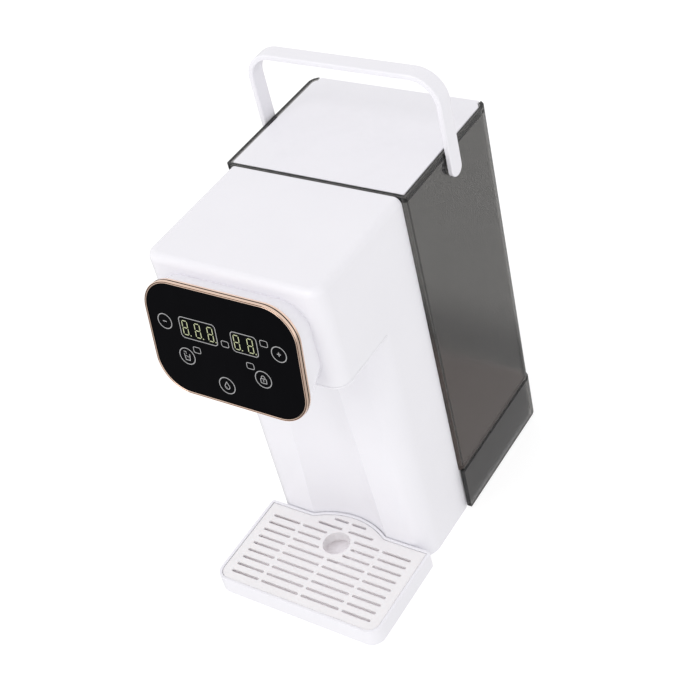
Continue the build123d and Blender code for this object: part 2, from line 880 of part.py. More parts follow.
with BuildPart() as pump_cradle:
    cradle_reach = pump_motor_radius + 2
    block(
        (motor_left + 5, head_left - 5),
        (pump_y - cradle_reach, pump_y + cradle_reach),
        (plate_top, pump_height - 3),
    )
    rod(motor_plane, pump_motor_radius + press_gap, pump_motor_length, Mode.SUBTRACT)
pump_cradle.part.label = "pump_cradle"

# Socket in the platform that takes the tank's valve, with its seal and push pin
socket_floor = platform_top - socket_depth
socket_bottom = socket_floor - socket_sump
cup_radius = socket_radius - socket_wall
valve_low = tank_floor_height - valve_drop
valve_seat = valve_low + valve_seat_height
push_pin_top = valve_seat - 2.0
with BuildPart() as port_socket:
    socket_base = Plane((valve_x, valve_y, socket_bottom))
    socket_stub = facing_front(valve_x, valve_y, pump_height)
    rod(socket_base, socket_radius, platform_top - socket_bottom)
    rod(socket_base.offset(socket_sump), cup_radius, socket_depth, Mode.SUBTRACT)
    rod(socket_base.offset(wall), cup_radius - 4, socket_sump, Mode.SUBTRACT)
    rod(socket_stub.offset(socket_radius - 1), stub_radius, stub_length + 1)
    rod(socket_stub, stub_bore_radius, socket_radius + stub_length, Mode.SUBTRACT)
    rod(socket_base.offset(1), push_pin_radius, push_pin_top - socket_bottom - 1)
port_socket.part.label = "port_socket"

with BuildPart() as port_seal:
    port_seal_base = Plane((valve_x, valve_y, valve_low + 2.0))
    add(rod_in(port_seal_base, cup_radius, port_seal_height, valve_body_radius + fit_gap))
port_seal.part.label = "port_seal"

with BuildPart() as cord_gland:
    gland_inside = facing_back(cord_x, platform_back - wall - 3, gland_height)
    add(rod_in(gland_inside, gland_radius, wall + 7, gland_bore))
    add(rod_in(gland_inside.offset(wall + 3), gland_radius + gland_lip, 1.5, gland_bore))
cord_gland.part.label = "cord_gland"

sensor_z = tank_floor_top + float_foot_height + float_height / 2
with BuildPart() as reed_sensor:
    block(
        (float_x - reed_length / 2, float_x + reed_length / 2),
        (rear_panel_front - reed_thickness, rear_panel_front),
        (sensor_z - reed_thickness / 2, sensor_z + reed_thickness / 2),
    )
    fillet(reed_sensor.edges().filter_by(Axis.X), 1.0)
reed_sensor.part.label = "reed_sensor"

# Hoses
with BuildPart() as inlet_hose:
    add(
        hose(
            [
                (pump_right_face + 1, pump_y, pump_height),
                (valve_x, pump_y, pump_height),
                (valve_x, valve_y - socket_radius - 1, pump_height),
            ],
            hose_bend,
        )
    )
inlet_hose.part.label = "inlet_hose"

delivery_start = pump_height + pump_head_radius + 1.0
delivery_turn = (delivery_start + heater_low - cap_height) / 2 + 2
with BuildPart() as delivery_hose:
    add(
        hose(
            [
                (pump_outlet_x, pump_y, delivery_start),
                (pump_outlet_x, pump_y, delivery_turn),
                (heater_x, heater_y, delivery_turn),
                (heater_x, heater_y, heater_low - cap_height - 1.0),
            ],
            hose_bend,
        )
    )
delivery_hose.part.label = "delivery_hose"

with BuildPart() as outlet_hose:
    add(
        hose(
            [
                (heater_x, heater_y, heater_high + cap_height + 1.0),
                (heater_x, heater_y, chamber_stub_height),
                (0, heater_y, chamber_stub_height),
                (0, spout_y + chamber_radius + 1.0, chamber_stub_height),
            ],
            hose_bend,
        )
    )
outlet_hose.part.label = "outlet_hose"

# Power board on the rear panel's standoffs
board_back = rear_panel_front - standoff_length
board_front = board_back - board_thickness
with BuildPart() as power_board:
    with BuildSketch(facing_front(power_board_x, board_back, board_mid_z)):
        Rectangle(power_board_width, power_board_height)
        with Locations(*[(x - power_board_x, z - board_mid_z) for x, z in board_screw_places]):
            Circle(screw_radius + seam_gap, mode=Mode.SUBTRACT)
    extrude(amount=board_thickness)
power_board.part.label = "power_board"

with BuildPart() as board_screws:
    for x, z in board_screw_places:
        rod(facing_front(x, board_front, z), screw_head_radius, pan_head_height)
        rod(facing_back(x, board_front, z), screw_radius, board_thickness + standoff_length - 0.5)
board_screws.part.label = "board_screws"


def board_block(x, z, size):
    """Block that stands on the power board, with its lower edge at a height."""
    block((x - size[0] / 2, x + size[0] / 2), (board_front - size[1], board_front), (z, z + size[2]))


with BuildPart() as supply_transformer:
    board_block(power_board_x - board_column_step, power_board_low + board_row_low, transformer_size)
    fillet(supply_transformer.edges().filter_by(Axis.Y), 2)
supply_transformer.part.label = "supply_transformer"

with BuildPart() as mains_relay:
    board_block(power_board_x + board_column_step, power_board_low + board_row_low, relay_size)
    fillet(mains_relay.edges().filter_by(Axis.Y), 1)
mains_relay.part.label = "mains_relay"

with BuildPart() as board_parts:
    capacitor_z = power_board_low + board_row_middle
    for step in (-1, 0, 1):
        capacitor_x = power_board_x + step * capacitor_pitch
        rod(facing_front(capacitor_x, board_front, capacitor_z), capacitor_radius, capacitor_height)
    for side in (-1, 1):
        board_block(power_board_x + side * chip_pitch / 2, power_board_low + board_row_high, chip_size)
board_parts.part.label = "board_parts"

ribbon_start_y = board_front - ribbon_thickness / 2
ribbon_drop_y = spout_y
ribbon_top = top_height - wall - ribbon_ceiling_gap
ribbon_end = panel_plane.from_local_coords(
    Vector(0, pocket_row, -(display_depth + board_thickness + fit_gap))
)
with BuildPart() as ribbon_cable:
    with BuildSketch(Plane.YZ.offset(ribbon_x - ribbon_width / 2)):
        with BuildLine():
            FilletPolyline(
                (ribbon_start_y, power_board_low + power_board_height - ribbon_overlap),
                (ribbon_start_y, ribbon_top),
                (ribbon_drop_y, ribbon_top),
                (ribbon_drop_y, ribbon_end.Z),
                (ribbon_end.Y, ribbon_end.Z),
                radius=ribbon_bend,
            )
        trace(line_width=ribbon_thickness)
    extrude(amount=ribbon_width)
ribbon_cable.part.label = "ribbon_cable"

# Water tank
inner_back_radius = tank_back_radius - tank_wall


def tank_ring_outline(inset):
    """Outline of the tank, drawn in by a margin."""
    back_radius = max(tank_back_radius - inset, 3.0)
    return plan_outline(tank_width - 2 * inset, tank_front + inset, tank_back - inset, 0.8, back_radius)


with BuildPart() as tank_body:
    with BuildSketch(Plane.XY.offset(tank_floor_height)):
        add(plan_outline(tank_width, tank_front, tank_back, tank_front_radius, tank_back_radius))
    extrude(amount=top_height - tank_floor_height)
    with BuildSketch(Plane.XY.offset(skirt_bottom)):
        add(
            plan_outline(
                tank_width + 2 * skirt_flare, tank_front, skirt_back, 0, tank_back_radius + skirt_flare
            )
        )
    extrude(amount=tank_floor_height - skirt_bottom)
    skirt_shoulder = tank_body.faces().filter_by(Axis.Z).group_by(Axis.Z)[-2].edges()
    side_shoulder = skirt_shoulder.filter_by(
        lambda edge: abs(edge.center().X) > tank_width / 2 + skirt_flare / 2
        or edge.center().Y > tank_back + skirt_flare / 2
    )
    chamfer(side_shoulder, skirt_flare * 0.8)
    with BuildSketch(Plane.XY.offset(tank_floor_top)):
        add(tank_ring_outline(tank_wall))
    extrude(amount=top_height - tank_floor_top, mode=Mode.SUBTRACT)
    with BuildSketch(Plane.XY.offset(skirt_bottom)):
        skirt_room_width = tank_width - 2 * tank_wall
        add(plan_outline(skirt_room_width, tank_front, tank_back - tank_wall, 0, inner_back_radius))
    extrude(amount=tank_floor_height - skirt_bottom, mode=Mode.SUBTRACT)
    with BuildSketch(Plane.XY.offset(ledge_top - ledge_height)):
        add(tank_ring_outline(tank_wall - 0.5))
        add(tank_ring_outline(tank_wall + ledge_width), mode=Mode.SUBTRACT)
    extrude(amount=ledge_height)
    block(
        (-lid_tab_width / 2, lid_tab_width / 2),
        (tank_back - tank_wall - 1, tank_back + 1),
        (ledge_top, top_height),
        Mode.SUBTRACT,
    )
    for side in (-1, 1):
        pivot_start = Plane(
            origin=(side * tank_width / 2, handle_y, handle_pivot_height),
            x_dir=(0, 1, 0),
            z_dir=(-side, 0, 0),
        )
        rod(pivot_start, pivot_boss_radius, tank_wall + pivot_boss_depth)
        rod(pivot_start, pin_radius + pin_clearance, pin_length + pin_end_gap, Mode.SUBTRACT)
    valve_hole = Plane((valve_x, valve_y, tank_floor_height))
    rod(valve_hole, valve_body_radius + press_gap, tank_wall, Mode.SUBTRACT)
    block(
        (cord_x - cord_notch_width / 2, cord_x + cord_notch_width / 2),
        (tank_back - tank_wall - 1, skirt_back + 1),
        (skirt_bottom, skirt_bottom + cord_notch_height),
        Mode.SUBTRACT,
    )
tank_body.part.label = "tank_body"

# Lid: flush in the rim, with a tab over the rear wall and a skirt that carries the seal
lid_bottom = top_height - lid_thickness
lid_width = tank_width - 2 * (tank_wall + lid_gap)
lid_front = tank_front + tank_wall + lid_gap
lid_inner_back = tank_back - tank_wall - lid_gap
skirt_margin = tank_wall + ledge_width + lid_gap
with BuildPart() as tank_lid:
    with BuildSketch(Plane.XY.offset(lid_bottom)):
        add(plan_outline(lid_width, lid_front, lid_inner_back, 1.5, inner_back_radius))
        tab_front = lid_inner_back - tank_back_radius
        add(plan_outline(lid_tab_width - 2 * lid_gap, tab_front, tank_back, 0, lid_tab_corner))
    extrude(amount=lid_thickness)
    fillet(tank_lid.faces().sort_by(Axis.Z)[-1].edges(), 0.8)
    with BuildSketch(Plane.XY.offset(lid_bottom - lid_skirt_height)):
        add(tank_ring_outline(skirt_margin))
        add(tank_ring_outline(skirt_margin + lid_skirt_thickness), mode=Mode.SUBTRACT)
    extrude(amount=lid_skirt_height)
    seal_low = lid_bottom - lid_skirt_height + seal_groove_rise
    with BuildSketch(Plane.XY.offset(seal_low)):
        add(plan_outline(tank_width, tank_front, tank_back))
        add(tank_ring_outline(skirt_margin + seal_groove_depth), mode=Mode.SUBTRACT)
    extrude(amount=seal_height, mode=Mode.SUBTRACT)
tank_lid.part.label = "tank_lid"

with BuildPart() as lid_seal:
    with BuildSketch(Plane.XY.offset(seal_low)):
        add(tank_ring_outline(tank_wall + ledge_width + fit_gap))
        add(tank_ring_outline(skirt_margin + seal_groove_depth), mode=Mode.SUBTRACT)
    extrude(amount=seal_height)
lid_seal.part.label = "lid_seal"

# Carrying handle, upright, with a pin at the foot of each arm
arm_inner_x = tank_width / 2 + handle_side_gap
arm_middle_x = arm_inner_x + strap_thickness / 2
arm_foot = handle_pivot_height - strap_width / 2
bar_middle_z = handle_pivot_height + handle_reach
with BuildPart() as carry_handle:
    with BuildSketch(facing_front(0, handle_y + strap_width / 2, 0)):
        with BuildLine():
            FilletPolyline(
                (-arm_middle_x, arm_foot),
                (-arm_middle_x, bar_middle_z),
                (arm_middle_x, bar_middle_z),
                (arm_middle_x, arm_foot),
                radius=handle_corner_radius,
            )
        trace(line_width=strap_thickness)
    extrude(amount=strap_width)
    arm_ends = carry_handle.faces().sort_by(Axis.Z)[0:2].edges().filter_by(Axis.X)
    fillet(arm_ends, strap_width / 2 - 0.05)
    long_edges = carry_handle.edges().filter_by(lambda edge: edge.length > strap_thickness + 0.5)
    fillet(long_edges, strap_edge_radius)
    for side in (-1, 1):
        pin_start = Plane(
            origin=(side * (arm_inner_x + 1), handle_y, handle_pivot_height),
            x_dir=(0, 1, 0),
            z_dir=(-side, 0, 0),
        )
        rod(pin_start, pin_radius, 1 + handle_side_gap + pin_length)
carry_handle.part.label = "carry_handle"

# Check valve: housing through the tank's floor, plunger with its seal and spring, and a strainer
valve_axis = Location((valve_x, valve_y, 0))
valve_cap_top = tank_floor_top + valve_rise
valve_cap_bottom = valve_cap_top - 2.0
with BuildPart() as valve_housing:
    with BuildSketch(Plane.XZ):
        with BuildLine():
            Polyline(
                (valve_throat_radius, valve_low),
                (valve_body_radius, valve_low),
                (valve_body_radius, tank_floor_top),
                (valve_flange_radius, tank_floor_top),
                (valve_flange_radius, tank_floor_top + valve_flange_thickness),
                (valve_body_radius, tank_floor_top + valve_flange_thickness),
                (valve_body_radius, valve_cap_top),
                (stem_radius + fit_gap, valve_cap_top),
                (stem_radius + fit_gap, valve_cap_bottom),
                (valve_bore_radius, valve_cap_bottom),
                (valve_bore_radius, valve_seat),
                (valve_throat_radius, valve_seat),
                close=True,
            )
        make_face()
    revolve(axis=Axis.Z)
    window_heights = (tank_floor_top + valve_flange_thickness + 1, valve_cap_bottom - 1)
    across = (-valve_flange_radius, valve_flange_radius)
    narrow = (-valve_window_width / 2, valve_window_width / 2)
    block(across, narrow, window_heights, Mode.SUBTRACT)
    block(narrow, across, window_heights, Mode.SUBTRACT)
valve_housing.part = valve_housing.part.moved(valve_axis)
valve_housing.part.label = "valve_housing"

valve_seal_low = valve_seat + fit_gap + valve_lift
plunger_low = valve_seal_low + valve_seal_thickness
plunger_top = plunger_low + plunger_thickness
stem_low = push_pin_top + fit_gap
stem_high = valve_cap_top + valve_lift + 1.3
with BuildPart() as valve_plunger:
    rod(Plane((valve_x, valve_y, plunger_low)), plunger_radius, plunger_thickness)
    rod(Plane((valve_x, valve_y, stem_low)), stem_radius, stem_high - stem_low)
valve_plunger.part.label = "valve_plunger"

with BuildPart() as valve_seal:
    seal_base = Plane((valve_x, valve_y, valve_seal_low))
    add(rod_in(seal_base, plunger_radius, valve_seal_thickness, stem_radius + press_gap))
valve_seal.part.label = "valve_seal"

spring_radius = plunger_radius - spring_wire
spring_span = valve_cap_bottom - plunger_top - spring_wire - 0.1
with BuildPart() as valve_spring:
    with BuildLine() as spring_line:
        Helix(
            pitch=spring_span / spring_turns,
            height=spring_span,
            radius=spring_radius,
            center=(valve_x, valve_y, plunger_top + spring_wire / 2 + 0.05),
        )
    with BuildSketch(Plane(origin=spring_line.line @ 0, z_dir=spring_line.line % 0)):
        Circle(spring_wire / 2)
    sweep(path=spring_line.line, is_frenet=True)
valve_spring.part.label = "valve_spring"

with BuildPart() as inlet_filter:
    filter_base = Plane((valve_x, valve_y, tank_floor_top))
    rod(filter_base, filter_radius, filter_height)
    rod(filter_base, filter_radius - filter_wall, filter_height - filter_wall, Mode.SUBTRACT)
    for index in range(filter_slots // 2):
        with BuildSketch(Plane.XY.offset(tank_floor_top + 3)):
            with Locations(Location((valve_x, valve_y, 0), (0, 0, index * 360 / filter_slots))):
                Rectangle(3 * filter_radius, 1.6)
        extrude(amount=filter_height - 3 - 2 * filter_wall, mode=Mode.SUBTRACT)
inlet_filter.part.label = "inlet_filter"

# Level float on its post, with a ring magnet in its underside
float_low = tank_floor_top + float_foot_height + fit_gap
post_cap_low = float_low + float_height + float_travel + fit_gap
with BuildPart() as float_guide:
    post_foot = Plane((float_x, float_y, tank_floor_top))
    rod(post_foot, float_post_radius + 5, float_foot_height)
    rod(post_foot, float_post_radius, post_cap_low - tank_floor_top)
    rod(Plane((float_x, float_y, post_cap_low)), float_post_radius + 3, 2)
float_guide.part.label = "float_guide"

float_bore = float_post_radius + fit_gap
with BuildPart() as level_float:
    add(rod_in(Plane((float_x, float_y, float_low)), float_radius, float_height, float_bore))
    fillet(level_float.edges().filter_by(lambda edge: edge.length > 6 * float_radius), 1.5)
    with BuildSketch(Plane.XY.offset(float_low)):
        with Locations((float_x, float_y)):
            Circle(magnet_radius)
            Circle(float_bore + 1.0, mode=Mode.SUBTRACT)
    extrude(amount=magnet_height, mode=Mode.SUBTRACT)
level_float.part.label = "level_float"

with BuildPart() as float_magnet:
    magnet_base = Plane((float_x, float_y, float_low))
    magnet_bore = float_bore + 1 + press_gap
    add(rod_in(magnet_base, magnet_radius - press_gap, magnet_height - press_gap, magnet_bore))
float_magnet.part.label = "float_magnet"

# Drip tray: a shallow tray with a bulge into the scoop, and a slotted grid on its ledge
tray_floor_top = tray_floor_height + tray_floor
grid_top = tray_height - grid_recess
grid_bottom = grid_top - grid_thickness
grid_seat = grid_bottom - fit_gap
scoop_run = (niche_depth - niche_depth_at_top) / (head_underside - foot_height)
bulge_centre = column_front + niche_depth - niche_radius - (tray_height - foot_height) * scoop_run
bulge_radius = niche_radius - tray_clearance


def tray_plan(inset):
    """Outline of the tray, drawn in by a margin."""
    with BuildSketch() as bulge:
        with Locations((0, bulge_centre)):
            Circle(bulge_radius)
        with Locations((0, tray_back + bulge_radius / 2 - 1)):
            Rectangle(tray_width, bulge_radius, mode=Mode.INTERSECT)
    with BuildSketch() as plan:
        add(plan_outline(tray_width, tray_front, tray_back, tray_corner_radius, tray_back_radius))
        add(bulge.sketch)
        inner_corners = plan.vertices().filter_by(
            lambda vertex: abs(vertex.Y - tray_back) < 0.01 and abs(vertex.X) < tray_width * 0.4
        )
        fillet(inner_corners, 6)
        if inset > 0:
            offset(amount=-inset, mode=Mode.REPLACE)
    return plan.sketch


with BuildPart() as drip_tray:
    with BuildSketch(Plane.XY.offset(tray_floor_height)):
        add(tray_plan(0))
    extrude(amount=tray_height - tray_floor_height)
    fillet(drip_tray.faces().sort_by(Axis.Z)[0].edges(), 1.5)
    with BuildSketch(Plane.XY.offset(tray_floor_top)):
        add(tray_plan(tray_wall + tray_ledge))
    extrude(amount=tray_height - tray_floor_top, mode=Mode.SUBTRACT)
    with BuildSketch(Plane.XY.offset(grid_seat)):
        add(tray_plan(tray_wall))
    extrude(amount=tray_height - grid_seat, mode=Mode.SUBTRACT)
    fillet(drip_tray.faces().filter_by(Axis.Z).sort_by(Axis.Z)[-1].edges(), 0.6)
    with BuildSketch():
        with Locations((0, (tray_front + tray_back) / 2)):
            with GridLocations(tray_pad_spacing[0], tray_pad_spacing[1], 2, 2):
                Circle(tray_pad_radius)
    extrude(amount=tray_floor_height)
drip_tray.part.label = "drip_tray"

finger_y = tray_front + finger_hole_from_front
first_row = tray_front + first_row_from_front


def slots_in_row(y, long_length, short_length):
    """Middle and length of each slot to the right of the middle, cut back from the finger hole."""
    clear = finger_hole_radius + finger_hole_margin
    away = abs(y - finger_y)
    start = slot_bridge / 2
    if away < clear:
        start = max(start, sqrt(clear * clear - away * away))
    end = slot_bridge / 2 + long_length
    slots = [((start + end) / 2, end - start)]
    if short_length > 0:
        slots.append((end + slot_bridge + short_length / 2, short_length))
    return slots


with BuildPart() as drip_grid:
    with BuildSketch(Plane.XY.offset(grid_bottom)):
        add(tray_plan(tray_wall + fit_gap))
    extrude(amount=grid_thickness)
    chamfer(drip_grid.faces().sort_by(Axis.Z)[-1].edges(), 0.4)
    collar_foot = Plane((0, finger_y, grid_top - collar_depth))
    rod(collar_foot, finger_hole_radius + collar_wall, collar_depth)
    rod(collar_foot, finger_hole_radius, collar_depth, Mode.SUBTRACT)
    rows = [(first_row + index * slot_pitch, long_slot, short_slot) for index in range(slot_rows)]
    for step, length in enumerate(bulge_slots):
        rows.append((first_row + (slot_rows + step) * slot_pitch, length, 0))
    with BuildSketch(Plane.XY.offset(grid_bottom)):
        for y, long_length, short_length in rows:
            for x, length in slots_in_row(y, long_length, short_length):
                with Locations((-x, y), (x, y)):
                    SlotOverall(length, slot_width)
    extrude(amount=grid_thickness, mode=Mode.SUBTRACT)
drip_grid.part.label = "drip_grid"

pieces = (
    body_shell,
    head_bottom_cover,
    rear_panel,
    shell_screws,
    base_platform,
    bottom_plate,
    base_screws,
    rubber_feet,
    panel_pod,
    bezel_ring,
    panel_glass,
    touch_board,
    volume_display,
    temperature_display,
    indicator_leds,
    spout_nozzle,
    outlet_chamber,
    heater_barrel,
    heater_caps,
    heater_bracket,
    thermal_cutouts,
    temperature_sensors,
    pump_head,
    pump_motor,
    pump_rotor,
    pump_cradle,
    port_socket,
    port_seal,
    cord_gland,
    reed_sensor,
    inlet_hose,
    delivery_hose,
    outlet_hose,
    power_board,
    board_screws,
    supply_transformer,
    mains_relay,
    board_parts,
    ribbon_cable,
    tank_body,
    tank_lid,
    lid_seal,
    carry_handle,
    valve_housing,
    valve_plunger,
    valve_seal,
    valve_spring,
    inlet_filter,
    float_guide,
    level_float,
    float_magnet,
    drip_tray,
    drip_grid,
)
for piece in pieces:
    export_step(piece.part, f"parts/{piece.part.label}.step")
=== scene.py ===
"""Looks of a tabletop hot water dispenser. Laid out as an add-on, and run as a script."""

import json
import math

import bmesh
import bpy
from bpy.props import FloatProperty, FloatVectorProperty, PointerProperty
from mathutils import Matrix, Vector


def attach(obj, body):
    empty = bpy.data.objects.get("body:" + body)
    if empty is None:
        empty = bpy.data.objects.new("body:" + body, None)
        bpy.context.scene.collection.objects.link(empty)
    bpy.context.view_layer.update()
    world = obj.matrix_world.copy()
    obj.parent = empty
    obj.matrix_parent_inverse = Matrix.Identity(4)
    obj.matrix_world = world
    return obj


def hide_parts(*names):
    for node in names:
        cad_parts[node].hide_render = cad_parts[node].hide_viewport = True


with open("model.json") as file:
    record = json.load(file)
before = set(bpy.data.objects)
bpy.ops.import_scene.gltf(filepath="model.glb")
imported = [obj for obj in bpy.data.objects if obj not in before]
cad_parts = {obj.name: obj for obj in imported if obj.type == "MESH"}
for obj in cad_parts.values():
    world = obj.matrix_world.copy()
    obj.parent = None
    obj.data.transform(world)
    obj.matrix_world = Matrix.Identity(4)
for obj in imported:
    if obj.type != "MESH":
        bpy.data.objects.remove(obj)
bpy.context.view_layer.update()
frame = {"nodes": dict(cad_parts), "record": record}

bl_info = {
    "name": "Hot Water Dispenser",
    "version": (1, 0, 0),
    "blender": (4, 5, 0),
    "location": "View3D > Sidebar > Dispenser",
    "description": "Dresses the dispenser's parts, adds its ring and panel signs, and lights it",
    "category": "Object",
}

MM = 0.001
BLACK = (0.0, 0.0, 0.0, 1.0)
SLOT_OF = {part["node"]: part["material_slot"] for part in frame["record"]["subparts"]}


# Shader expressions


class Value:
    """A number that varies over a surface. Arithmetic on it adds Math nodes."""

    def __init__(self, graph, socket):
        self.graph = graph
        self.socket = socket

    def join(self, operation, other, swapped=False):
        pair = (other, self) if swapped else (self, other)
        return self.graph.node("Math", {"operation": operation}, dict(enumerate(pair)))

    def __add__(self, other):
        return self.join("ADD", other)

    def __radd__(self, other):
        return self.join("ADD", other, True)

    def __sub__(self, other):
        return self.join("SUBTRACT", other)

    def __rsub__(self, other):
        return self.join("SUBTRACT", other, True)

    def __mul__(self, other):
        return self.join("MULTIPLY", other)

    def __rmul__(self, other):
        return self.join("MULTIPLY", other, True)

    def __gt__(self, other):
        return self.join("GREATER_THAN", other)

    def __lt__(self, other):
        return self.join("LESS_THAN", other)


class Graph:
    """The nodes of one node tree, made by calls and joined by their values."""

    def __init__(self, tree):
        self.tree = tree
        tree.nodes.clear()

    def node(self, kind, settings=None, sockets=None, output=0):
        """Adds a node: its settings first, then the values or links of its sockets."""
        made = self.tree.nodes.new("ShaderNode" + kind)
        for setting, value in (settings or {}).items():
            if setting == "stops":
                ramp = made.color_ramp.elements
                while len(ramp) < len(value):
                    ramp.new(1.0)
                for stop, (position, colour) in zip(ramp, value):
                    stop.position = position
                    stop.color = colour
            else:
                setattr(made, setting, value)
        for socket, value in (sockets or {}).items():
            if isinstance(value, Value):
                self.tree.links.new(value.socket, made.inputs[socket])
            else:
                made.inputs[socket].default_value = value
        return Value(self, made.outputs[output]) if made.outputs else made


class Finish(Graph):
    """A material made of one Principled shader, with named constants and textures that feed it."""

    def __init__(self, name, **constants):
        self.material = bpy.data.materials.new(name)
        self.material.use_nodes = True
        super().__init__(self.material.node_tree)
        named = {socket.replace("_", " "): value for socket, value in constants.items()}
        surface = self.node("BsdfPrincipled", None, named)
        self.shader = surface.socket.node
        self.output = self.node("OutputMaterial", None, {"Surface": surface})
        self.place = self.node("TexCoord", output="Object")

    def noise(self, scale, detail=2.0, stretch=None):
        """Noise from 0 to 1 with that many lumps to the metre, finer along the stretched axes."""
        place = self.place
        if stretch:
            place = self.node("VectorMath", {"operation": "MULTIPLY"}, {0: place, 1: stretch})
        return self.node("TexNoise", None, {"Vector": place, "Scale": scale, "Detail": detail})

    def specks(self, scale, size):
        """1 inside scattered round specks and 0 outside them."""
        cells = self.node("TexVoronoi", None, {"Vector": self.place, "Scale": scale})
        return cells < size

    def blend(self, factor, first, second):
        """The colour that goes from the first to the second as the factor rises."""
        settings = {"data_type": "RGBA", "clamp_factor": True}
        return self.node("Mix", settings, {0: factor, 6: first, 7: second}, output=2)

    def height(self, axis):
        """How far along an axis of the part a point lies, in metres."""
        return self.node("SeparateXYZ", None, {0: self.place}, output=axis)

    def level_faces(self, bottom, top):
        """1 on level faces between two heights of the part, and 0 elsewhere."""
        upright = self.node("SeparateXYZ", None, {0: self.node("NewGeometry", output="Normal")}, 2)
        level = self.height(2)
        return (upright * upright > 0.5) * (level > bottom) * (level < top)

    def feed(self, **values):
        """Links values to the shader's sockets, named with _ for a space."""
        for socket, value in values.items():
            self.tree.links.new(value.socket, self.shader.inputs[socket.replace("_", " ")])

    def bump(self, relief, depth):
        """Raises the surface by the relief, by the depth in metres where the relief is 1."""
        self.feed(Normal=self.node("Bump", None, {"Height": relief, "Distance": depth}))


def shade(colour, amount):
    """A colour made lighter or darker, with its opacity kept at 1."""
    return tuple(min(1.0, c * amount) for c in colour[:3]) + (1.0,)


# Finishes


def gloss_moulding(name, colour, roughness, peel, painted_floor_light=None, **constants):
    """Glossy moulded plastic with faint flow clouds and a polished mould's waviness.

    A painted floor light is painted light: a glow colour on its level faces that lightens their shade, with
    the lowest and highest height of those.
    """
    finish = Finish(name, IOR=1.5, **constants)
    clouds = finish.noise(18, 3)
    waves = finish.noise(240, 1)
    grain = finish.noise(2600, 2)
    colours = finish.blend(clouds, shade(colour, 0.975), shade(colour, 1.02))
    finish.feed(
        Base_Color=colours,
        Roughness=roughness + (clouds - 0.5) * 0.06 + (grain - 0.5) * 0.05,
    )
    # Painted light: the level faces glow to lighten their shade
    if painted_floor_light:
        glow, base, top = painted_floor_light
        finish.feed(Emission_Color=finish.blend(finish.level_faces(base, top), BLACK, glow))
    finish.bump(waves * 0.8 + grain * 0.2, peel)
    return finish.material


def spark_moulding(name, colour, roughness, grain_depth, **constants):
    """Matt moulded plastic with the pebbled grain of a spark-eroded mould."""
    finish = Finish(name, IOR=1.48, **constants)
    clouds = finish.noise(25, 2)
    pebbles = finish.noise(1500, 3)
    finish.feed(
        Base_Color=finish.blend(clouds * 0.6 + pebbles * 0.4, shade(colour, 0.94), shade(colour, 1.05)),
        Roughness=roughness + (pebbles - 0.5) * 0.16,
    )
    finish.bump(pebbles, grain_depth)
    return finish.material


def worked_metal(name, colour, roughness, stretch, depth, scale=900):
    """Metal with fine lines along the axis that is stretched least, or even grain without a stretch."""
    finish = Finish(name, Metallic=1.0)
    lines = finish.noise(scale, 2, stretch)
    stains = finish.noise(45, 3)
    finish.feed(
        Base_Color=finish.blend(stains, shade(colour, 0.88), shade(colour, 1.06)),
        Roughness=roughness + (lines - 0.5) * 0.12 + (stains - 0.5) * 0.08,
    )
    finish.bump(lines, depth)
    return finish.material


def smoked_plastic(name, colour, roughness, density, floor, foot):
    """See-through smoke-grey plastic, wavy and hazy in places.

    The floor is a tint and a glow, with the lowest and highest height of the level faces that have
    them; the glow is painted light for the pale base below. The foot is painted shade on the rear
    wall, darker towards the bottom for the shadow seen through it: where it starts from the front
    and from below, the height where its shade ends, and the length over which it fades.
    """
    finish = Finish(name, IOR=1.46, Transmission_Weight=1.0, Emission_Strength=1.0)
    waves = finish.noise(60, 2, (1.0, 1.0, 0.35))
    haze = finish.noise(30, 3)
    grain = finish.noise(1800, 1)
    level = finish.height(2)
    tint, glow, floor_base, floor_top = floor
    foot_front, foot_base, shade_top, fade = foot
    in_painted_shade = (level > foot_base) * (finish.height(1) > foot_front)
    walls = finish.blend(haze, shade(colour, 0.92), shade(colour, 1.08))
    # Painted shade: the rear wall darkens towards its foot, for the shadow seen through it
    walls = finish.blend((shade_top - level) * (1 / fade) * in_painted_shade, walls, shade(colour, 0.25))
    in_floor = finish.level_faces(floor_base, floor_top)
    finish.feed(
        Base_Color=finish.blend(in_floor, walls, tint),
        # Painted light: the floor's level faces glow, standing in for light from the pale base below
        Emission_Color=finish.blend(in_floor, BLACK, glow),
        Roughness=roughness + (haze - 0.5) * 0.08 + (grain - 0.5) * 0.03,
    )
    finish.bump(waves * 0.9 + grain * 0.1, 0.00002)
    depth = finish.node("VolumeAbsorption", None, {"Color": (0.02, 0.01, 0.0, 1.0), "Density": density})
    finish.tree.links.new(depth.socket, finish.output.inputs["Volume"])
    return finish.material


def panel_glass_finish(name, colour, roughness):
    """Black-backed glass with the faint smears that fingers leave."""
    finish = Finish(name, IOR=1.5, Specular_IOR_Level=0.02)
    smears = finish.noise(70, 3, (1.0, 1.0, 0.4))
    wipes = finish.noise(900, 1)
    finish.feed(
        Base_Color=finish.blend(smears, shade(colour, 0.8), shade(colour, 1.25)),
        Roughness=roughness + (smears > 0.56) * 0.03 + wipes * 0.02,
    )
    finish.bump(smears, 0.00001)
    return finish.material


def soft_rubber(name, colour, roughness, **constants):
    """Moulded rubber: dull, with fine pits and a dusty bloom."""
    finish = Finish(name, IOR=1.45, **constants)
    bloom = finish.noise(60, 4)
    pits = finish.noise(2200, 2)
    finish.feed(
        Base_Color=finish.blend(bloom, shade(colour, 0.85), shade(colour, 1.3)),
        Roughness=roughness + (bloom - 0.5) * 0.15,
    )
    finish.bump(pits, 0.00006)
    return finish.material


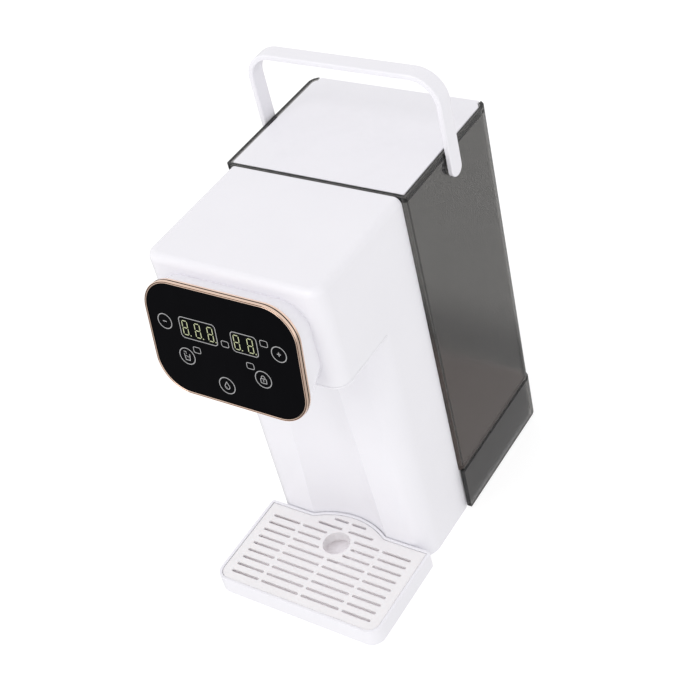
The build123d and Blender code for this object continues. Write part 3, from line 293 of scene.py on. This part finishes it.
def printed_board(name, colour):
    """Circuit board: lacquer over copper tracks, with small round pads."""
    finish = Finish(name, IOR=1.52)
    tracks = finish.node(
        "TexBrick",
        {"offset": 0.35},
        {"Vector": finish.place, "Scale": 160.0, "Mortar Size": 0.03},
        output="Fac",
    )
    pads = finish.specks(420, 0.16)
    lacquer = finish.blend(tracks * 0.7, shade(colour, 1.0), shade(colour, 1.9))
    finish.feed(
        Base_Color=finish.blend(pads, lacquer, (0.62, 0.60, 0.52, 1.0)),
        Roughness=0.32 + pads * 0.12 - tracks * 0.05,
        Metallic=pads * 0.8,
    )
    finish.bump(tracks * 0.5 + pads * 0.5, 0.00004)
    return finish.material


def wound_tape(name, colour):
    """Taped winding: overlapping turns of glossy film."""
    finish = Finish(name, IOR=1.5)
    turns = finish.node(
        "TexWave",
        {"wave_type": "BANDS", "bands_direction": "Z"},
        {"Vector": finish.place, "Scale": 120.0, "Distortion": 1.2},
        output="Fac",
    )
    stains = finish.noise(80, 3)
    finish.feed(
        Base_Color=finish.blend(turns * 0.6 + stains * 0.4, shade(colour, 0.75), shade(colour, 1.1)),
        Roughness=0.3 + stains * 0.2,
    )
    finish.bump(turns, 0.00015)
    return finish.material


def flat_cable(name, colour):
    """Flat cable: parallel cores side by side, ribbed across the width."""
    finish = Finish(name, IOR=1.5)
    cores = finish.node(
        "TexWave",
        {"wave_type": "BANDS", "bands_direction": "X"},
        {"Vector": finish.place, "Scale": 250.0},
        output="Fac",
    )
    dust = finish.noise(400, 2)
    finish.feed(
        Base_Color=finish.blend(cores, shade(colour, 0.8), shade(colour, 1.1)),
        Roughness=0.5 + (dust - 0.5) * 0.2,
    )
    finish.bump(cores, 0.0003)
    return finish.material


def printed_sign(name, colour, glow=0.0):
    """Screen-printed ink or a lit segment on the glass, with the mesh's dots and thin places."""
    finish = Finish(name, IOR=1.5, Emission_Strength=glow)
    mesh_dots = finish.noise(3500, 1)
    thin = finish.noise(500, 2)
    ink = finish.blend(mesh_dots * 0.5 + thin * 0.5, shade(colour, 0.8), shade(colour, 1.1))
    finish.feed(Base_Color=ink, Roughness=0.45 + thin * 0.2)
    if glow:
        finish.feed(Emission_Color=ink)
    finish.bump(mesh_dots, 0.00001)
    return finish.material


def dress(slots, material):
    """Gives a material to every part whose record names one of the slots."""
    for name, part in frame["nodes"].items():
        if SLOT_OF[name] in slots:
            for place in part.material_slots:
                place.material = material


# Mesh tools

# How far the printed ink stands out of the glass, in millimetres
INK_LIFT = 0.05
# Least number that a printed line's half width is divided by at a corner, so that it doesn't shoot out
LEAST_MITRE = 0.4


def panel_axes():
    """The directions right, up and out of the tilted panel."""
    tilt = math.radians(bpy.context.scene.dispenser_panel.tilt)
    up = Vector((0, math.sin(tilt), math.cos(tilt)))
    out = Vector((0, -math.cos(tilt), math.sin(tilt)))
    return Vector((1, 0, 0)), up, out


def face_frame(node):
    """A matrix whose origin is the middle of a part's front face and whose axes are the panel's."""
    points = [v.co for v in frame["nodes"][node].data.vertices]
    across, up, out = panel_axes()
    origin = out * max(p.dot(out) for p in points)
    for axis in (across, up):
        spans = [p.dot(axis) for p in points]
        origin += axis * (min(spans) + max(spans)) / 2
    place = Matrix((across, up, out)).transposed().to_4x4()
    place.translation = origin
    return place


def add_piece(name, bm, place, body, materials, crease=35):
    """Turns finished mesh work into a piece that rides on a body."""
    bmesh.ops.recalc_face_normals(bm, faces=bm.faces)
    bm.transform(place)
    mesh = bpy.data.meshes.new(name)
    bm.to_mesh(mesh)
    bm.free()
    mesh.shade_smooth()
    mesh.set_sharp_from_angle(angle=math.radians(crease))
    piece = bpy.data.objects.new(name, mesh)
    bpy.context.scene.collection.objects.link(piece)
    for material in materials:
        mesh.materials.append(material)
    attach(piece, body)
    return piece


def loft_rings(bm, rings):
    """Joins rings of equally many points, the last to the first too. Returns the strips of faces."""
    rows = [[bm.verts.new(p) for p in ring] for ring in rings]
    strips = []
    for i, first in enumerate(rows):
        second = rows[(i + 1) % len(rows)]
        around = [(j, (j + 1) % len(first)) for j in range(len(first))]
        strips.append([bm.faces.new((first[j], first[k], second[k], second[j])) for j, k in around])
    return strips


def rounded_outline(width, height, radius, steps):
    """Points of a rectangle with round corners, with the outward direction at each."""
    points = []
    for corner, (sx, sy) in enumerate(((1, 1), (-1, 1), (-1, -1), (1, -1))):
        centre = Vector((sx * (width / 2 - radius), sy * (height / 2 - radius)))
        for step in range(steps + 1):
            angle = math.pi / 2 * (corner + step / steps)
            outward = Vector((math.cos(angle), math.sin(angle)))
            points.append((centre + outward * radius, outward))
    return points


def arc(x, y, radius, start, end, steps):
    """Points along an arc, angles in degrees."""
    turns = [math.radians(start + (end - start) * i / steps) for i in range(steps + 1)]
    return [(x + radius * math.cos(a), y + radius * math.sin(a)) for a in turns]


def ink_line(bm, points, width, closed=True):
    """A printed line of even width along points in the panel's plane, in millimetres."""
    path = [Vector(p) for p in points]
    if closed and (path[0] - path[-1]).length < 1e-6:
        path.pop()
    count = len(path)
    section = []
    for i, here in enumerate(path):
        before = path[i - 1] if closed or i else None
        after = path[(i + 1) % count] if closed or i < count - 1 else None
        runs = [(here - before).normalized() if before else None,
                (after - here).normalized() if after else None]
        runs = [r for r in runs if r]
        along = sum(runs, Vector((0, 0))).normalized()
        side = Vector((-along.y, along.x))
        side *= width / 2 / max(LEAST_MITRE, side.dot(Vector((-runs[0].y, runs[0].x))))
        corners = ((1, INK_LIFT), (-1, INK_LIFT), (-1, -INK_LIFT), (1, -INK_LIFT))
        section.append([(*(here + side * s), height) for s, height in corners])
    rows = [[bm.verts.new(Vector(p) * MM) for p in ring] for ring in section]
    for i in range(count if closed else count - 1):
        first, second = rows[i], rows[(i + 1) % count]
        for j in range(4):
            bm.faces.new((first[j], first[(j + 1) % 4], second[(j + 1) % 4], second[j]))
    if not closed:
        bm.faces.new(rows[0])
        bm.faces.new(rows[-1])


def ink_patch(bm, points):
    """A printed filled shape, points in the panel's plane in millimetres, round its outline."""
    top = [bm.verts.new(Vector((x, y, INK_LIFT)) * MM) for x, y in points]
    base = [bm.verts.new(Vector((x, y, -INK_LIFT)) * MM) for x, y in points]
    bm.faces.new(top)
    bm.faces.new(base)
    for i in range(len(points)):
        k = (i + 1) % len(points)
        bm.faces.new((top[i], top[k], base[k], base[i]))


def ink_dot(bm, x, y, radius):
    """A printed round dot, in millimetres, with twelve corners."""
    ink_patch(bm, arc(x, y, radius, 0, 330, 11))


# Settings that a user would change


class PlasticSettings(bpy.types.PropertyGroup):
    white: FloatVectorProperty(
        name="White",
        description="Colour of the glossy white mouldings",
        subtype="COLOR",
        size=3,
        default=(0.86, 0.853, 0.89),
        min=0.0,
        max=1.0,
    )
    grid: FloatVectorProperty(
        name="Grid white",
        description="Colour of the drip tray's grid",
        subtype="COLOR",
        size=3,
        default=(0.88, 0.862, 0.87),
        min=0.0,
        max=1.0,
    )
    gloss: FloatProperty(
        name="Roughness",
        description="Roughness of the glossy white mouldings",
        default=0.24,
        min=0.0,
        max=1.0,
        subtype="FACTOR",
    )
    smoke: FloatVectorProperty(
        name="Smoke tint",
        description="Colour that one face of the tank's plastic lets through",
        subtype="COLOR",
        size=3,
        default=(0.447, 0.443, 0.433),
        min=0.0,
        max=1.0,
    )
    floor_tint: FloatVectorProperty(
        name="Tank floor tint",
        description="Colour that the upper face of the tank's floor lets through",
        subtype="COLOR",
        size=3,
        default=(0.97, 0.90, 0.87),
        min=0.0,
        max=1.0,
    )
    # Painted light: the tank floor's glow stands in for light from the pale base below it
    floor_painted_glow: FloatVectorProperty(
        name="Tank floor glow",
        description="Light that the tank's floor passes on from the pale base below it",
        subtype="COLOR",
        size=3,
        default=(0.13, 0.094, 0.083),
        min=0.0,
        max=1.0,
    )
    smoke_density: FloatProperty(
        name="Smoke density",
        description="How fast the plastic darkens light that travels inside it, per metre",
        default=90.0,
        min=0.0,
    )
    floor_top: FloatProperty(
        name="Tank floor height",
        description="Height up to which the tank's level faces have its floor's tint and glow",
        default=55.0 * MM,
        unit="LENGTH",
        subtype="DISTANCE",
    )
    haze: FloatProperty(
        name="Tank haze",
        description="Roughness of the tank's plastic",
        default=0.2,
        min=0.0,
        max=1.0,
        subtype="FACTOR",
    )


class PanelSettings(bpy.types.PropertyGroup):
    tilt: FloatProperty(
        name="Tilt",
        description="How far the panel leans back, in degrees",
        default=8.5,
        min=0.0,
        max=45.0,
    )
    ring_width: FloatProperty(
        name="Ring width",
        description="Width of the ring, seen from the front",
        default=2.0 * MM,
        unit="LENGTH",
        subtype="DISTANCE",
    )
    ring_corner: FloatProperty(
        name="Ring corner radius",
        description="Radius of the ring's outer corners",
        default=27.0 * MM,
        unit="LENGTH",
        subtype="DISTANCE",
    )
    gold: FloatVectorProperty(
        name="Ring colour",
        description="Colour of the polished ring",
        subtype="COLOR",
        size=3,
        default=(1.0, 0.73, 0.59),
        min=0.0,
        max=1.0,
    )
    line: FloatProperty(
        name="Line width",
        description="Width of the printed lines",
        default=0.64 * MM,
        unit="LENGTH",
        subtype="DISTANCE",
    )
    ink: FloatVectorProperty(
        name="Ink",
        description="Colour of the printed signs",
        subtype="COLOR",
        size=3,
        default=(0.36, 0.36, 0.365),
        min=0.0,
        max=1.0,
    )
    digit_height: FloatProperty(
        name="Digit height",
        description="Height of a seven-segment digit",
        default=12.4 * MM,
        unit="LENGTH",
        subtype="DISTANCE",
    )
    glow: FloatVectorProperty(
        name="Digit colour",
        description="Colour of the lit segments",
        subtype="COLOR",
        size=3,
        default=(0.52, 0.56, 0.33),
        min=0.0,
        max=1.0,
    )


class StageSettings(bpy.types.PropertyGroup):
    camera_place: FloatVectorProperty(
        name="Camera place",
        description="Where the camera stands",
        subtype="TRANSLATION",
        unit="LENGTH",
        size=3,
        default=(0.5649, -0.6360, 0.8920),
    )
    azimuth: FloatProperty(
        name="Azimuth",
        description="Camera's turn round the part from its front, in degrees",
        default=40.95,
    )
    elevation: FloatProperty(
        name="Elevation",
        description="Camera's angle above the horizon, in degrees",
        default=40.24,
    )
    roll: FloatProperty(
        name="Roll",
        description="Camera's turn about its own line of sight, in degrees",
        default=-14.68,
    )
    lens: FloatProperty(
        name="Focal length",
        description="Focal length on a 36 mm wide sensor",
        default=73.87,
        unit="CAMERA",
    )
    daylight: FloatProperty(
        name="Room light",
        description="Strength of the even light from above",
        default=0.86,
        min=0.0,
    )
    key: FloatProperty(
        name="Key light",
        description="Power of the large soft light above the front, in watts",
        default=12.5,
        min=0.0,
    )


# Operators, one for each piece or group of like pieces


class DISPENSER_OT_mouldings(bpy.types.Operator):
    """Dresses the white pieces: glossy mouldings, satin tray and grid, grained base and brackets"""

    bl_idname = "dispenser.mouldings"
    bl_label = "White mouldings"

    # Painted light on the tray's floor, a glow that lightens the shade under the grid, with heights below
    # and above its upper face
    TRAY_FLOOR_PAINTED_LIGHT = ((0.9, 0.79, 0.78, 1.0), 2.5 * MM, 5 * MM)

    def execute(self, context):
        look = context.scene.dispenser_plastic
        white = tuple(look.white)
        dress({"shell_white", "spout_white"}, gloss_moulding("shell gloss", white, look.gloss, 0.00006))
        dress({"lid_white"}, gloss_moulding("lid gloss", white, look.gloss + 0.04, 0.00008))
        dress({"handle_white"}, gloss_moulding("handle gloss", white, look.gloss + 0.02, 0.00005))
        satin = look.gloss + 0.1
        soft = {"Subsurface_Weight": 0.2, "Subsurface_Radius": (1.0, 0.9, 0.88), "Subsurface_Scale": 0.004}
        tray = gloss_moulding("tray satin", white, satin, 0.00004, self.TRAY_FLOOR_PAINTED_LIGHT, Emission_Strength=0.16)
        grid = gloss_moulding("grid satin", tuple(look.grid), satin, 0.00004, **soft)
        dress({"tray_white"}, tray)
        dress({"grid_white"}, grid)
        dress({"base_white"}, spark_moulding("base grain", shade(white, 0.96), 0.48, 0.00006))
        return {"FINISHED"}


class DISPENSER_OT_tank(bpy.types.Operator):
    """Dresses the water tank in see-through smoke-grey plastic"""

    bl_idname = "dispenser.tank"
    bl_label = "Water tank"

    # A height above the skirt's upper edge and below the upper face of the tank's floor
    FLOOR_BASE = 50 * MM
    # Painted shade on the rear wall's foot, for the shadow seen through it: how far back and how high it
    # starts, where its shade ends, and the fade's length
    WALL_FOOT_PAINTED_SHADE = (130 * MM, 52.6 * MM, 132 * MM, 50 * MM)

    def execute(self, context):
        look = context.scene.dispenser_plastic
        floor = ((*look.floor_tint, 1.0), (*look.floor_painted_glow, 1.0), self.FLOOR_BASE, look.floor_top)
        walls = (tuple(look.smoke), look.haze, look.smoke_density)
        dress({"tank_smoke"}, smoked_plastic("tank smoke", *walls, floor, self.WALL_FOOT_PAINTED_SHADE))
        return {"FINISHED"}


class DISPENSER_OT_tank_fittings(bpy.types.Operator):
    """Dresses the valve, float, magnet, seals, hoses and feet, and small pieces of the same plastics"""

    bl_idname = "dispenser.tank_fittings"
    bl_label = "Valve, float and seals"

    def execute(self, context):
        dress({"valve_white"}, spark_moulding("valve plastic", (0.80, 0.80, 0.77), 0.4, 0.00003))
        dress({"float_white"}, spark_moulding("float foam", (0.84, 0.84, 0.81), 0.62, 0.00012))
        dress({"magnet_grey"}, worked_metal("sintered magnet", (0.11, 0.11, 0.12), 0.5, None, 0.00003))
        dress({"silicone_clear"}, soft_rubber("silicone", (0.74, 0.74, 0.71), 0.42, Subsurface_Weight=0.15))
        dress({"rubber_dark"}, soft_rubber("dark rubber", (0.035, 0.035, 0.038), 0.68))
        return {"FINISHED"}


class DISPENSER_OT_works(bpy.types.Operator):
    """Dresses the heater, pump, sensors, screws and other pieces of steel or black plastic"""

    bl_idname = "dispenser.works"
    bl_label = "Heater, pump and screws"

    def execute(self, context):
        dress({"steel"}, worked_metal("drawn steel", (0.60, 0.60, 0.61), 0.3, (6.0, 6.0, 0.3), 0.00002))
        dress({"screw_steel"}, worked_metal("plated screws", (0.56, 0.56, 0.58), 0.34, None, 0.00002, 1500))
        dress({"nylon_black"}, spark_moulding("black nylon", (0.03, 0.03, 0.033), 0.45, 0.00005))
        return {"FINISHED"}


class DISPENSER_OT_electrics(bpy.types.Operator):
    """Dresses the circuit boards, displays, light windows, transformer, relay and flat cable"""

    bl_idname = "dispenser.electrics"
    bl_label = "Boards and cable"

    def execute(self, context):
        dress({"board_green"}, printed_board("board lacquer", (0.02, 0.13, 0.06)))
        dress({"display_dark"}, spark_moulding("display block", (0.02, 0.02, 0.022), 0.3, 0.00002))
        dress({"led_amber"}, gloss_moulding("light windows", (0.86, 0.74, 0.42), 0.2, 0.00003))
        dress({"transformer_yellow"}, wound_tape("winding tape", (0.72, 0.55, 0.09)))
        dress({"relay_blue"}, gloss_moulding("relay case", (0.03, 0.11, 0.38), 0.3, 0.00003))
        dress({"ribbon_grey"}, flat_cable("flat cable", (0.55, 0.55, 0.57)))
        return {"FINISHED"}


class DISPENSER_OT_ring(bpy.types.Operator):
    """Builds the polished ring round the panel, with the groove between its two crests, and paints shade
    into its grooves
    """

    bl_idname = "dispenser.ring"
    bl_label = "Gold ring"

    # Ring's section: millimetres in from its outer edge, and down from its front
    SECTION = (
        (0.00, 4.60), (0.00, 3.00), (0.35, 2.90), (0.35, 2.10), (0.00, 2.00), (0.00, 0.95),
        (0.06, 0.58), (0.18, 0.28), (0.32, 0.13), (0.46, 0.18), (0.55, 0.40), (0.60, 1.10),
        (0.98, 1.10), (1.03, 0.38), (1.14, 0.12), (1.34, 0.00), (1.54, 0.05), (1.68, 0.22),
        (1.76, 0.50), (1.80, 1.10), (2.00, 1.10), (2.00, 5.00), (0.30, 5.00),
    )
    # Strips of the section that lie in its grooves, which get near-black gold as painted shade
    PAINTED_SHADE_GROOVES = (1, 2, 3, 10, 11, 12, 18, 19)

    def execute(self, context):
        look = context.scene.dispenser_panel
        place = face_frame("bezel_ring")
        points = [place.inverted() @ v.co for v in frame["nodes"]["bezel_ring"].data.vertices]
        size = [max(p[i] for p in points) - min(p[i] for p in points) for i in range(2)]
        stretch = look.ring_width / max(inset for inset, _ in self.SECTION)
        outline = rounded_outline(size[0], size[1], look.ring_corner, 20)
        rings = [
            [(*(point - outward * inset * stretch), -drop * MM) for point, outward in outline]
            for inset, drop in self.SECTION
        ]
        bm = bmesh.new()
        strips = loft_rings(bm, rings)
        for strip in self.PAINTED_SHADE_GROOVES:
            for face in strips[strip]:
                face.material_index = 1
        gold = tuple(look.gold)
        polished = worked_metal("rose gold", gold, 0.08, None, 0.000001, 2400)
        # Painted shade: near-black gold in the grooves stands in for their shade
        groove = worked_metal("groove shadow", shade(gold, 0.07), 0.35, None, 0.00001, 1200)
        ring = add_piece("ring_polished", bm, place, "dispenser", [polished, groove], 60)
        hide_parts("bezel_ring")
        return {"FINISHED"}


class DISPENSER_OT_panel(bpy.types.Operator):
    """Dresses the panel's black-backed glass"""

    bl_idname = "dispenser.panel"
    bl_label = "Panel glass"

    def execute(self, context):
        dress({"panel_black"}, panel_glass_finish("panel glass", (0.0025, 0.0025, 0.0032), 0.05))
        return {"FINISHED"}


class DISPENSER_OT_signs(bpy.types.Operator):
    """Prints the display frames, light windows and touch fields on the glass"""

    bl_idname = "dispenser.signs"
    bl_label = "Panel signs"

    # Middle x, middle y, width, height and corner radius of each frame, in millimetres
    FRAMES = (
        (-21.0, 11.6, 32.4, 17.6, 3.0),
        (19.6, 10.9, 22.3, 16.6, 3.0),
    )
    # Middles of the light windows, then the width, height and corner radius of each
    WINDOWS = ((1.9, 6.5), (37.1, 16.0), (-25.8, -5.9), (21.4, -6.7))
    WINDOW = (6.3, 5.0, 1.3)
    # Middle x, middle y and radius of each touch field's circle
    FIELDS = {
        "minus": (-50.9, 12.7, 6.2),
        "plus": (48.9, 10.3, 6.2),
        "cup": (-36.4, -13.8, 6.9),
        "drop": (-3.9, -30.7, 6.9),
        "padlock": (31.0, -15.6, 6.9),
    }

    def icon(self, bm, name, x, y, line):
        """Draws one field's own sign round its middle."""
        if name in ("minus", "plus"):
            bars = [(1.7, 0.36)] + ([(0.36, 1.7)] if name == "plus" else [])
            for across, tall in bars:
                corners = ((across, tall), (-across, tall), (-across, -tall), (across, -tall))
                ink_patch(bm, [(x + dx, y + dy) for dx, dy in corners])
        elif name == "cup":
            sides = ((-2.5, 2.3), (-1.9, -3.3), (1.9, -3.3), (2.5, 2.3))
            ink_line(bm, [(x + dx, y + dy) for dx, dy in sides], line, closed=False)
            level = ((-2.1, -0.2), (-0.7, 0.2), (0.7, -0.5), (2.1, -0.2))
            ink_line(bm, [(x + dx, y + dy) for dx, dy in level], line * 0.8, closed=False)
            spout = [(x - 0.6, y + 1.9), (x - 0.6, y + 3.9), (x - 2.6, y + 3.9)]
            ink_line(bm, spout, line * 0.8, closed=False)
        elif name == "drop":
            belly = [(x + dx, y + dy) for dx, dy in arc(0, -0.9, 2.1, -205, 25, 22)]
            ink_line(bm, belly + [(x + 0.9, y + 1.8), (x, y + 3.2), (x - 0.9, y + 1.8)], line)
            shine = arc(x, y - 0.9, 1.0, 190, 260, 6)
            ink_line(bm, shine, line * 0.6, closed=False)
        else:
            body = [(x + p.x, y - 1.3 + p.y) for p, _ in rounded_outline(5.0, 3.8, 0.7, 4)]
            ink_line(bm, body, line)
            shackle = [(x - 1.5, y + 0.8)] + arc(x, y + 1.6, 1.5, 180, 0, 12) + [(x + 1.5, y + 0.8)]
            ink_line(bm, shackle, line, closed=False)
            ink_dot(bm, x, y - 1.0, 0.55)
            ink_line(bm, [(x, y - 1.2), (x, y - 2.2)], line * 0.6, closed=False)

    def execute(self, context):
        look = context.scene.dispenser_panel
        place = face_frame("panel_glass")
        ink = printed_sign("sign ink", tuple(look.ink))
        line = look.line / MM
        frames = bmesh.new()
        for x, y, width, height, radius in self.FRAMES:
            outline = rounded_outline(width, height, radius, 8)
            ink_line(frames, [(x + p.x, y + p.y) for p, _ in outline], line)
        for x, y in self.WINDOWS:
            outline = rounded_outline(*self.WINDOW, 5)
            ink_line(frames, [(x + p.x, y + p.y) for p, _ in outline], line * 0.85)
        add_piece("panel_frames", frames, place, "dispenser", [ink])
        for name, (x, y, radius) in self.FIELDS.items():
            field = bmesh.new()
            ink_line(field, arc(x, y, radius, 0, 360, 48), line * 1.1)
            self.icon(field, name, x, y, line)
            add_piece("field_" + name, field, place, "dispenser", [ink])
        return {"FINISHED"}


class DISPENSER_OT_digits(bpy.types.Operator):
    """Lights the seven-segment digits of both displays"""

    bl_idname = "dispenser.digits"
    bl_label = "Display digits"

    # Middles of the digits in each display, and the display's middle height, in millimetres
    DISPLAYS = {
        "volume": ((-32.4, -21.2, -10.0), 11.6),
        "temperature": ((13.0, 24.8), 10.9),
    }
    # Digit's width as a share of its height, then a segment's width and the gap at its ends
    WIDE = 0.38
    THICK = 0.66
    GAP = 0.42
    # How far right of its digit a dot stands, and the dot's radius
    DOT_OFFSET = 1.7
    DOT_RADIUS = 0.5

    def segment(self, bm, start, end):
        """One bar with pointed ends from start to end."""
        first, last = Vector(start), Vector(end)
        along = (last - first).normalized()
        side = Vector((-along.y, along.x)) * self.THICK / 2
        first, last = first + along * self.GAP, last - along * self.GAP
        tip = along * self.THICK / 2
        points = (first, first + tip - side, last - tip - side, last, last - tip + side, first + tip + side)
        ink_patch(bm, [tuple(p) for p in points])

    def execute(self, context):
        look = context.scene.dispenser_panel
        place = face_frame("panel_glass")
        lit = printed_sign("lit segment", tuple(look.glow), 0.12)
        tall = look.digit_height / MM / 2 - self.THICK / 2
        wide = tall * self.WIDE
        for name, (middles, level) in self.DISPLAYS.items():
            bm = bmesh.new()
            for x in middles:
                posts = [(x + sx * wide, level + sy * tall) for sy in (-1, 0, 1) for sx in (-1, 1)]
                for a, b in ((0, 1), (2, 3), (4, 5), (0, 2), (2, 4), (1, 3), (3, 5)):
                    self.segment(bm, posts[a], posts[b])
                ink_dot(bm, x + wide + self.DOT_OFFSET, level - tall, self.DOT_RADIUS)
            add_piece("digits_" + name, bm, place, "dispenser", [lit])
        return {"FINISHED"}


class DISPENSER_OT_stage(bpy.types.Operator):
    """Sets the pale floor, the soft lights and the camera"""

    bl_idname = "dispenser.stage"
    bl_label = "Floor, lights and camera"

    # Camera's shift as a share of its sensor's width, and that width in millimetres
    SHIFT = (-0.0243, 0.0135)
    SENSOR = 36.0
    # Floor's radius in metres, its number of corners, its glow, and its paper's two greys
    FLOOR_RADIUS = 30.0
    FLOOR_CORNERS = 48
    FLOOR_GLOW = 0.78
    PAPER = (0.34, 0.36)
    # Room's brightness by height, from 0 straight down to 1 straight up
    ROOM_LEVELS = ((0.34, 0.62), (0.48, 1.12), (0.7, 1.0), (1.0, 0.98))
    # Where the key light hangs, the point it faces, and the length of its sides, in metres
    KEY_PLACE = (-0.3, -1.5, 1.8)
    KEY_AIM = (0.0, -0.02, 0.2)
    KEY_SIZE = 1.6

    def floor(self):
        bm = bmesh.new()
        step = 360 / self.FLOOR_CORNERS
        rim = arc(0, 0, self.FLOOR_RADIUS, 0, 360 - step, self.FLOOR_CORNERS - 1)
        bm.faces.new([bm.verts.new((*corner, 0.0)) for corner in rim])
        mesh = bpy.data.meshes.new("floor")
        bm.to_mesh(mesh)
        bm.free()
        floor = bpy.data.objects.new("floor", mesh)
        glow = {"Emission_Strength": self.FLOOR_GLOW, "Emission_Color": (1.0, 1.0, 1.0, 1.0)}
        finish = Finish("floor paper", Specular_IOR_Level=0.0, **glow)
        fibres = finish.noise(300, 3)
        dark, light = ((grey, grey, grey, 1.0) for grey in self.PAPER)
        finish.feed(Base_Color=finish.blend(fibres, dark, light), Roughness=0.8 + fibres * 0.1)
        mesh.materials.append(finish.material)
        floor.visible_glossy = False
        bpy.context.scene.collection.objects.link(floor)

    def room(self, daylight):
        """Even light from above, falling off to a dim grey below the horizon."""
        world = bpy.data.worlds.new("studio")
        world.use_nodes = True
        graph = Graph(world.node_tree)
        height = graph.node("SeparateXYZ", None, {0: graph.node("TexCoord", output="Generated")}, 2)
        shades = [(place, (value, value * 0.995, value, 1.0)) for place, value in self.ROOM_LEVELS]
        colour = graph.node("ValToRGB", {"stops": shades}, {0: height * 0.5 + 0.5})
        graph.node("OutputWorld", None, {0: graph.node("Background", None, {0: colour, 1: daylight})})
        return world

    def lamp(self, name, place, aim, size, power, colour):
        data = bpy.data.lights.new(name, "AREA")
        data.shape = "SQUARE"
        data.size = size
        data.energy = power
        data.color = colour
        lamp = bpy.data.objects.new(name, data)
        lamp.location = place
        lamp.rotation_euler = (Vector(aim) - Vector(place)).to_track_quat("-Z", "Y").to_euler()
        bpy.context.scene.collection.objects.link(lamp)

    def camera(self, look):
        data = bpy.data.cameras.new("camera")
        data.lens = look.lens
        data.sensor_width = self.SENSOR
        data.shift_x, data.shift_y = self.SHIFT
        azimuth, elevation, roll = (math.radians(a) for a in (look.azimuth, look.elevation, look.roll))
        back = Vector((
            math.sin(azimuth) * math.cos(elevation),
            -math.cos(azimuth) * math.cos(elevation),
            math.sin(elevation),
        ))
        level = Vector((math.cos(azimuth), math.sin(azimuth), 0.0))
        over = back.cross(level)
        right = level * math.cos(roll) + over * math.sin(roll)
        turn = Matrix((right, back.cross(right), back)).transposed()
        camera = bpy.data.objects.new("camera", data)
        camera.matrix_world = Matrix.Translation(look.camera_place) @ turn.to_4x4()
        bpy.context.scene.collection.objects.link(camera)
        bpy.context.scene.camera = camera

    def execute(self, context):
        look = context.scene.dispenser_stage
        self.camera(look)
        self.floor()
        self.lamp("key", self.KEY_PLACE, self.KEY_AIM, self.KEY_SIZE, look.key, (1.0, 0.99, 1.0))
        context.scene.world = self.room(look.daylight)
        context.scene.view_settings.view_transform = "Standard"
        return {"FINISHED"}


class DISPENSER_PT_sidebar(bpy.types.Panel):
    """Lists the dispenser's settings and the steps that dress it"""

    bl_idname = "DISPENSER_PT_sidebar"
    bl_label = "Hot water dispenser"
    bl_space_type = "VIEW_3D"
    bl_region_type = "UI"
    bl_category = "Dispenser"

    def draw(self, context):
        for group, _ in GROUPS:
            settings = getattr(context.scene, group)
            box = self.layout.box()
            for name in settings.__annotations__:
                box.prop(settings, name)
        for step in STEPS:
            self.layout.operator(step.bl_idname)


GROUPS = (
    ("dispenser_plastic", PlasticSettings),
    ("dispenser_panel", PanelSettings),
    ("dispenser_stage", StageSettings),
)
STEPS = (
    DISPENSER_OT_mouldings,
    DISPENSER_OT_tank,
    DISPENSER_OT_tank_fittings,
    DISPENSER_OT_works,
    DISPENSER_OT_electrics,
    DISPENSER_OT_ring,
    DISPENSER_OT_panel,
    DISPENSER_OT_signs,
    DISPENSER_OT_digits,
    DISPENSER_OT_stage,
)


def register():
    for name, group in GROUPS:
        bpy.utils.register_class(group)
        setattr(bpy.types.Scene, name, PointerProperty(type=group))
    for step in STEPS:
        bpy.utils.register_class(step)
    bpy.utils.register_class(DISPENSER_PT_sidebar)


def unregister():
    bpy.utils.unregister_class(DISPENSER_PT_sidebar)
    for step in reversed(STEPS):
        bpy.utils.unregister_class(step)
    for name, group in reversed(GROUPS):
        delattr(bpy.types.Scene, name)
        bpy.utils.unregister_class(group)


def main():
    register()
    for step in STEPS:
        family, name = step.bl_idname.split(".")
        getattr(getattr(bpy.ops, family), name)()


if __name__ == "__main__":
    main()
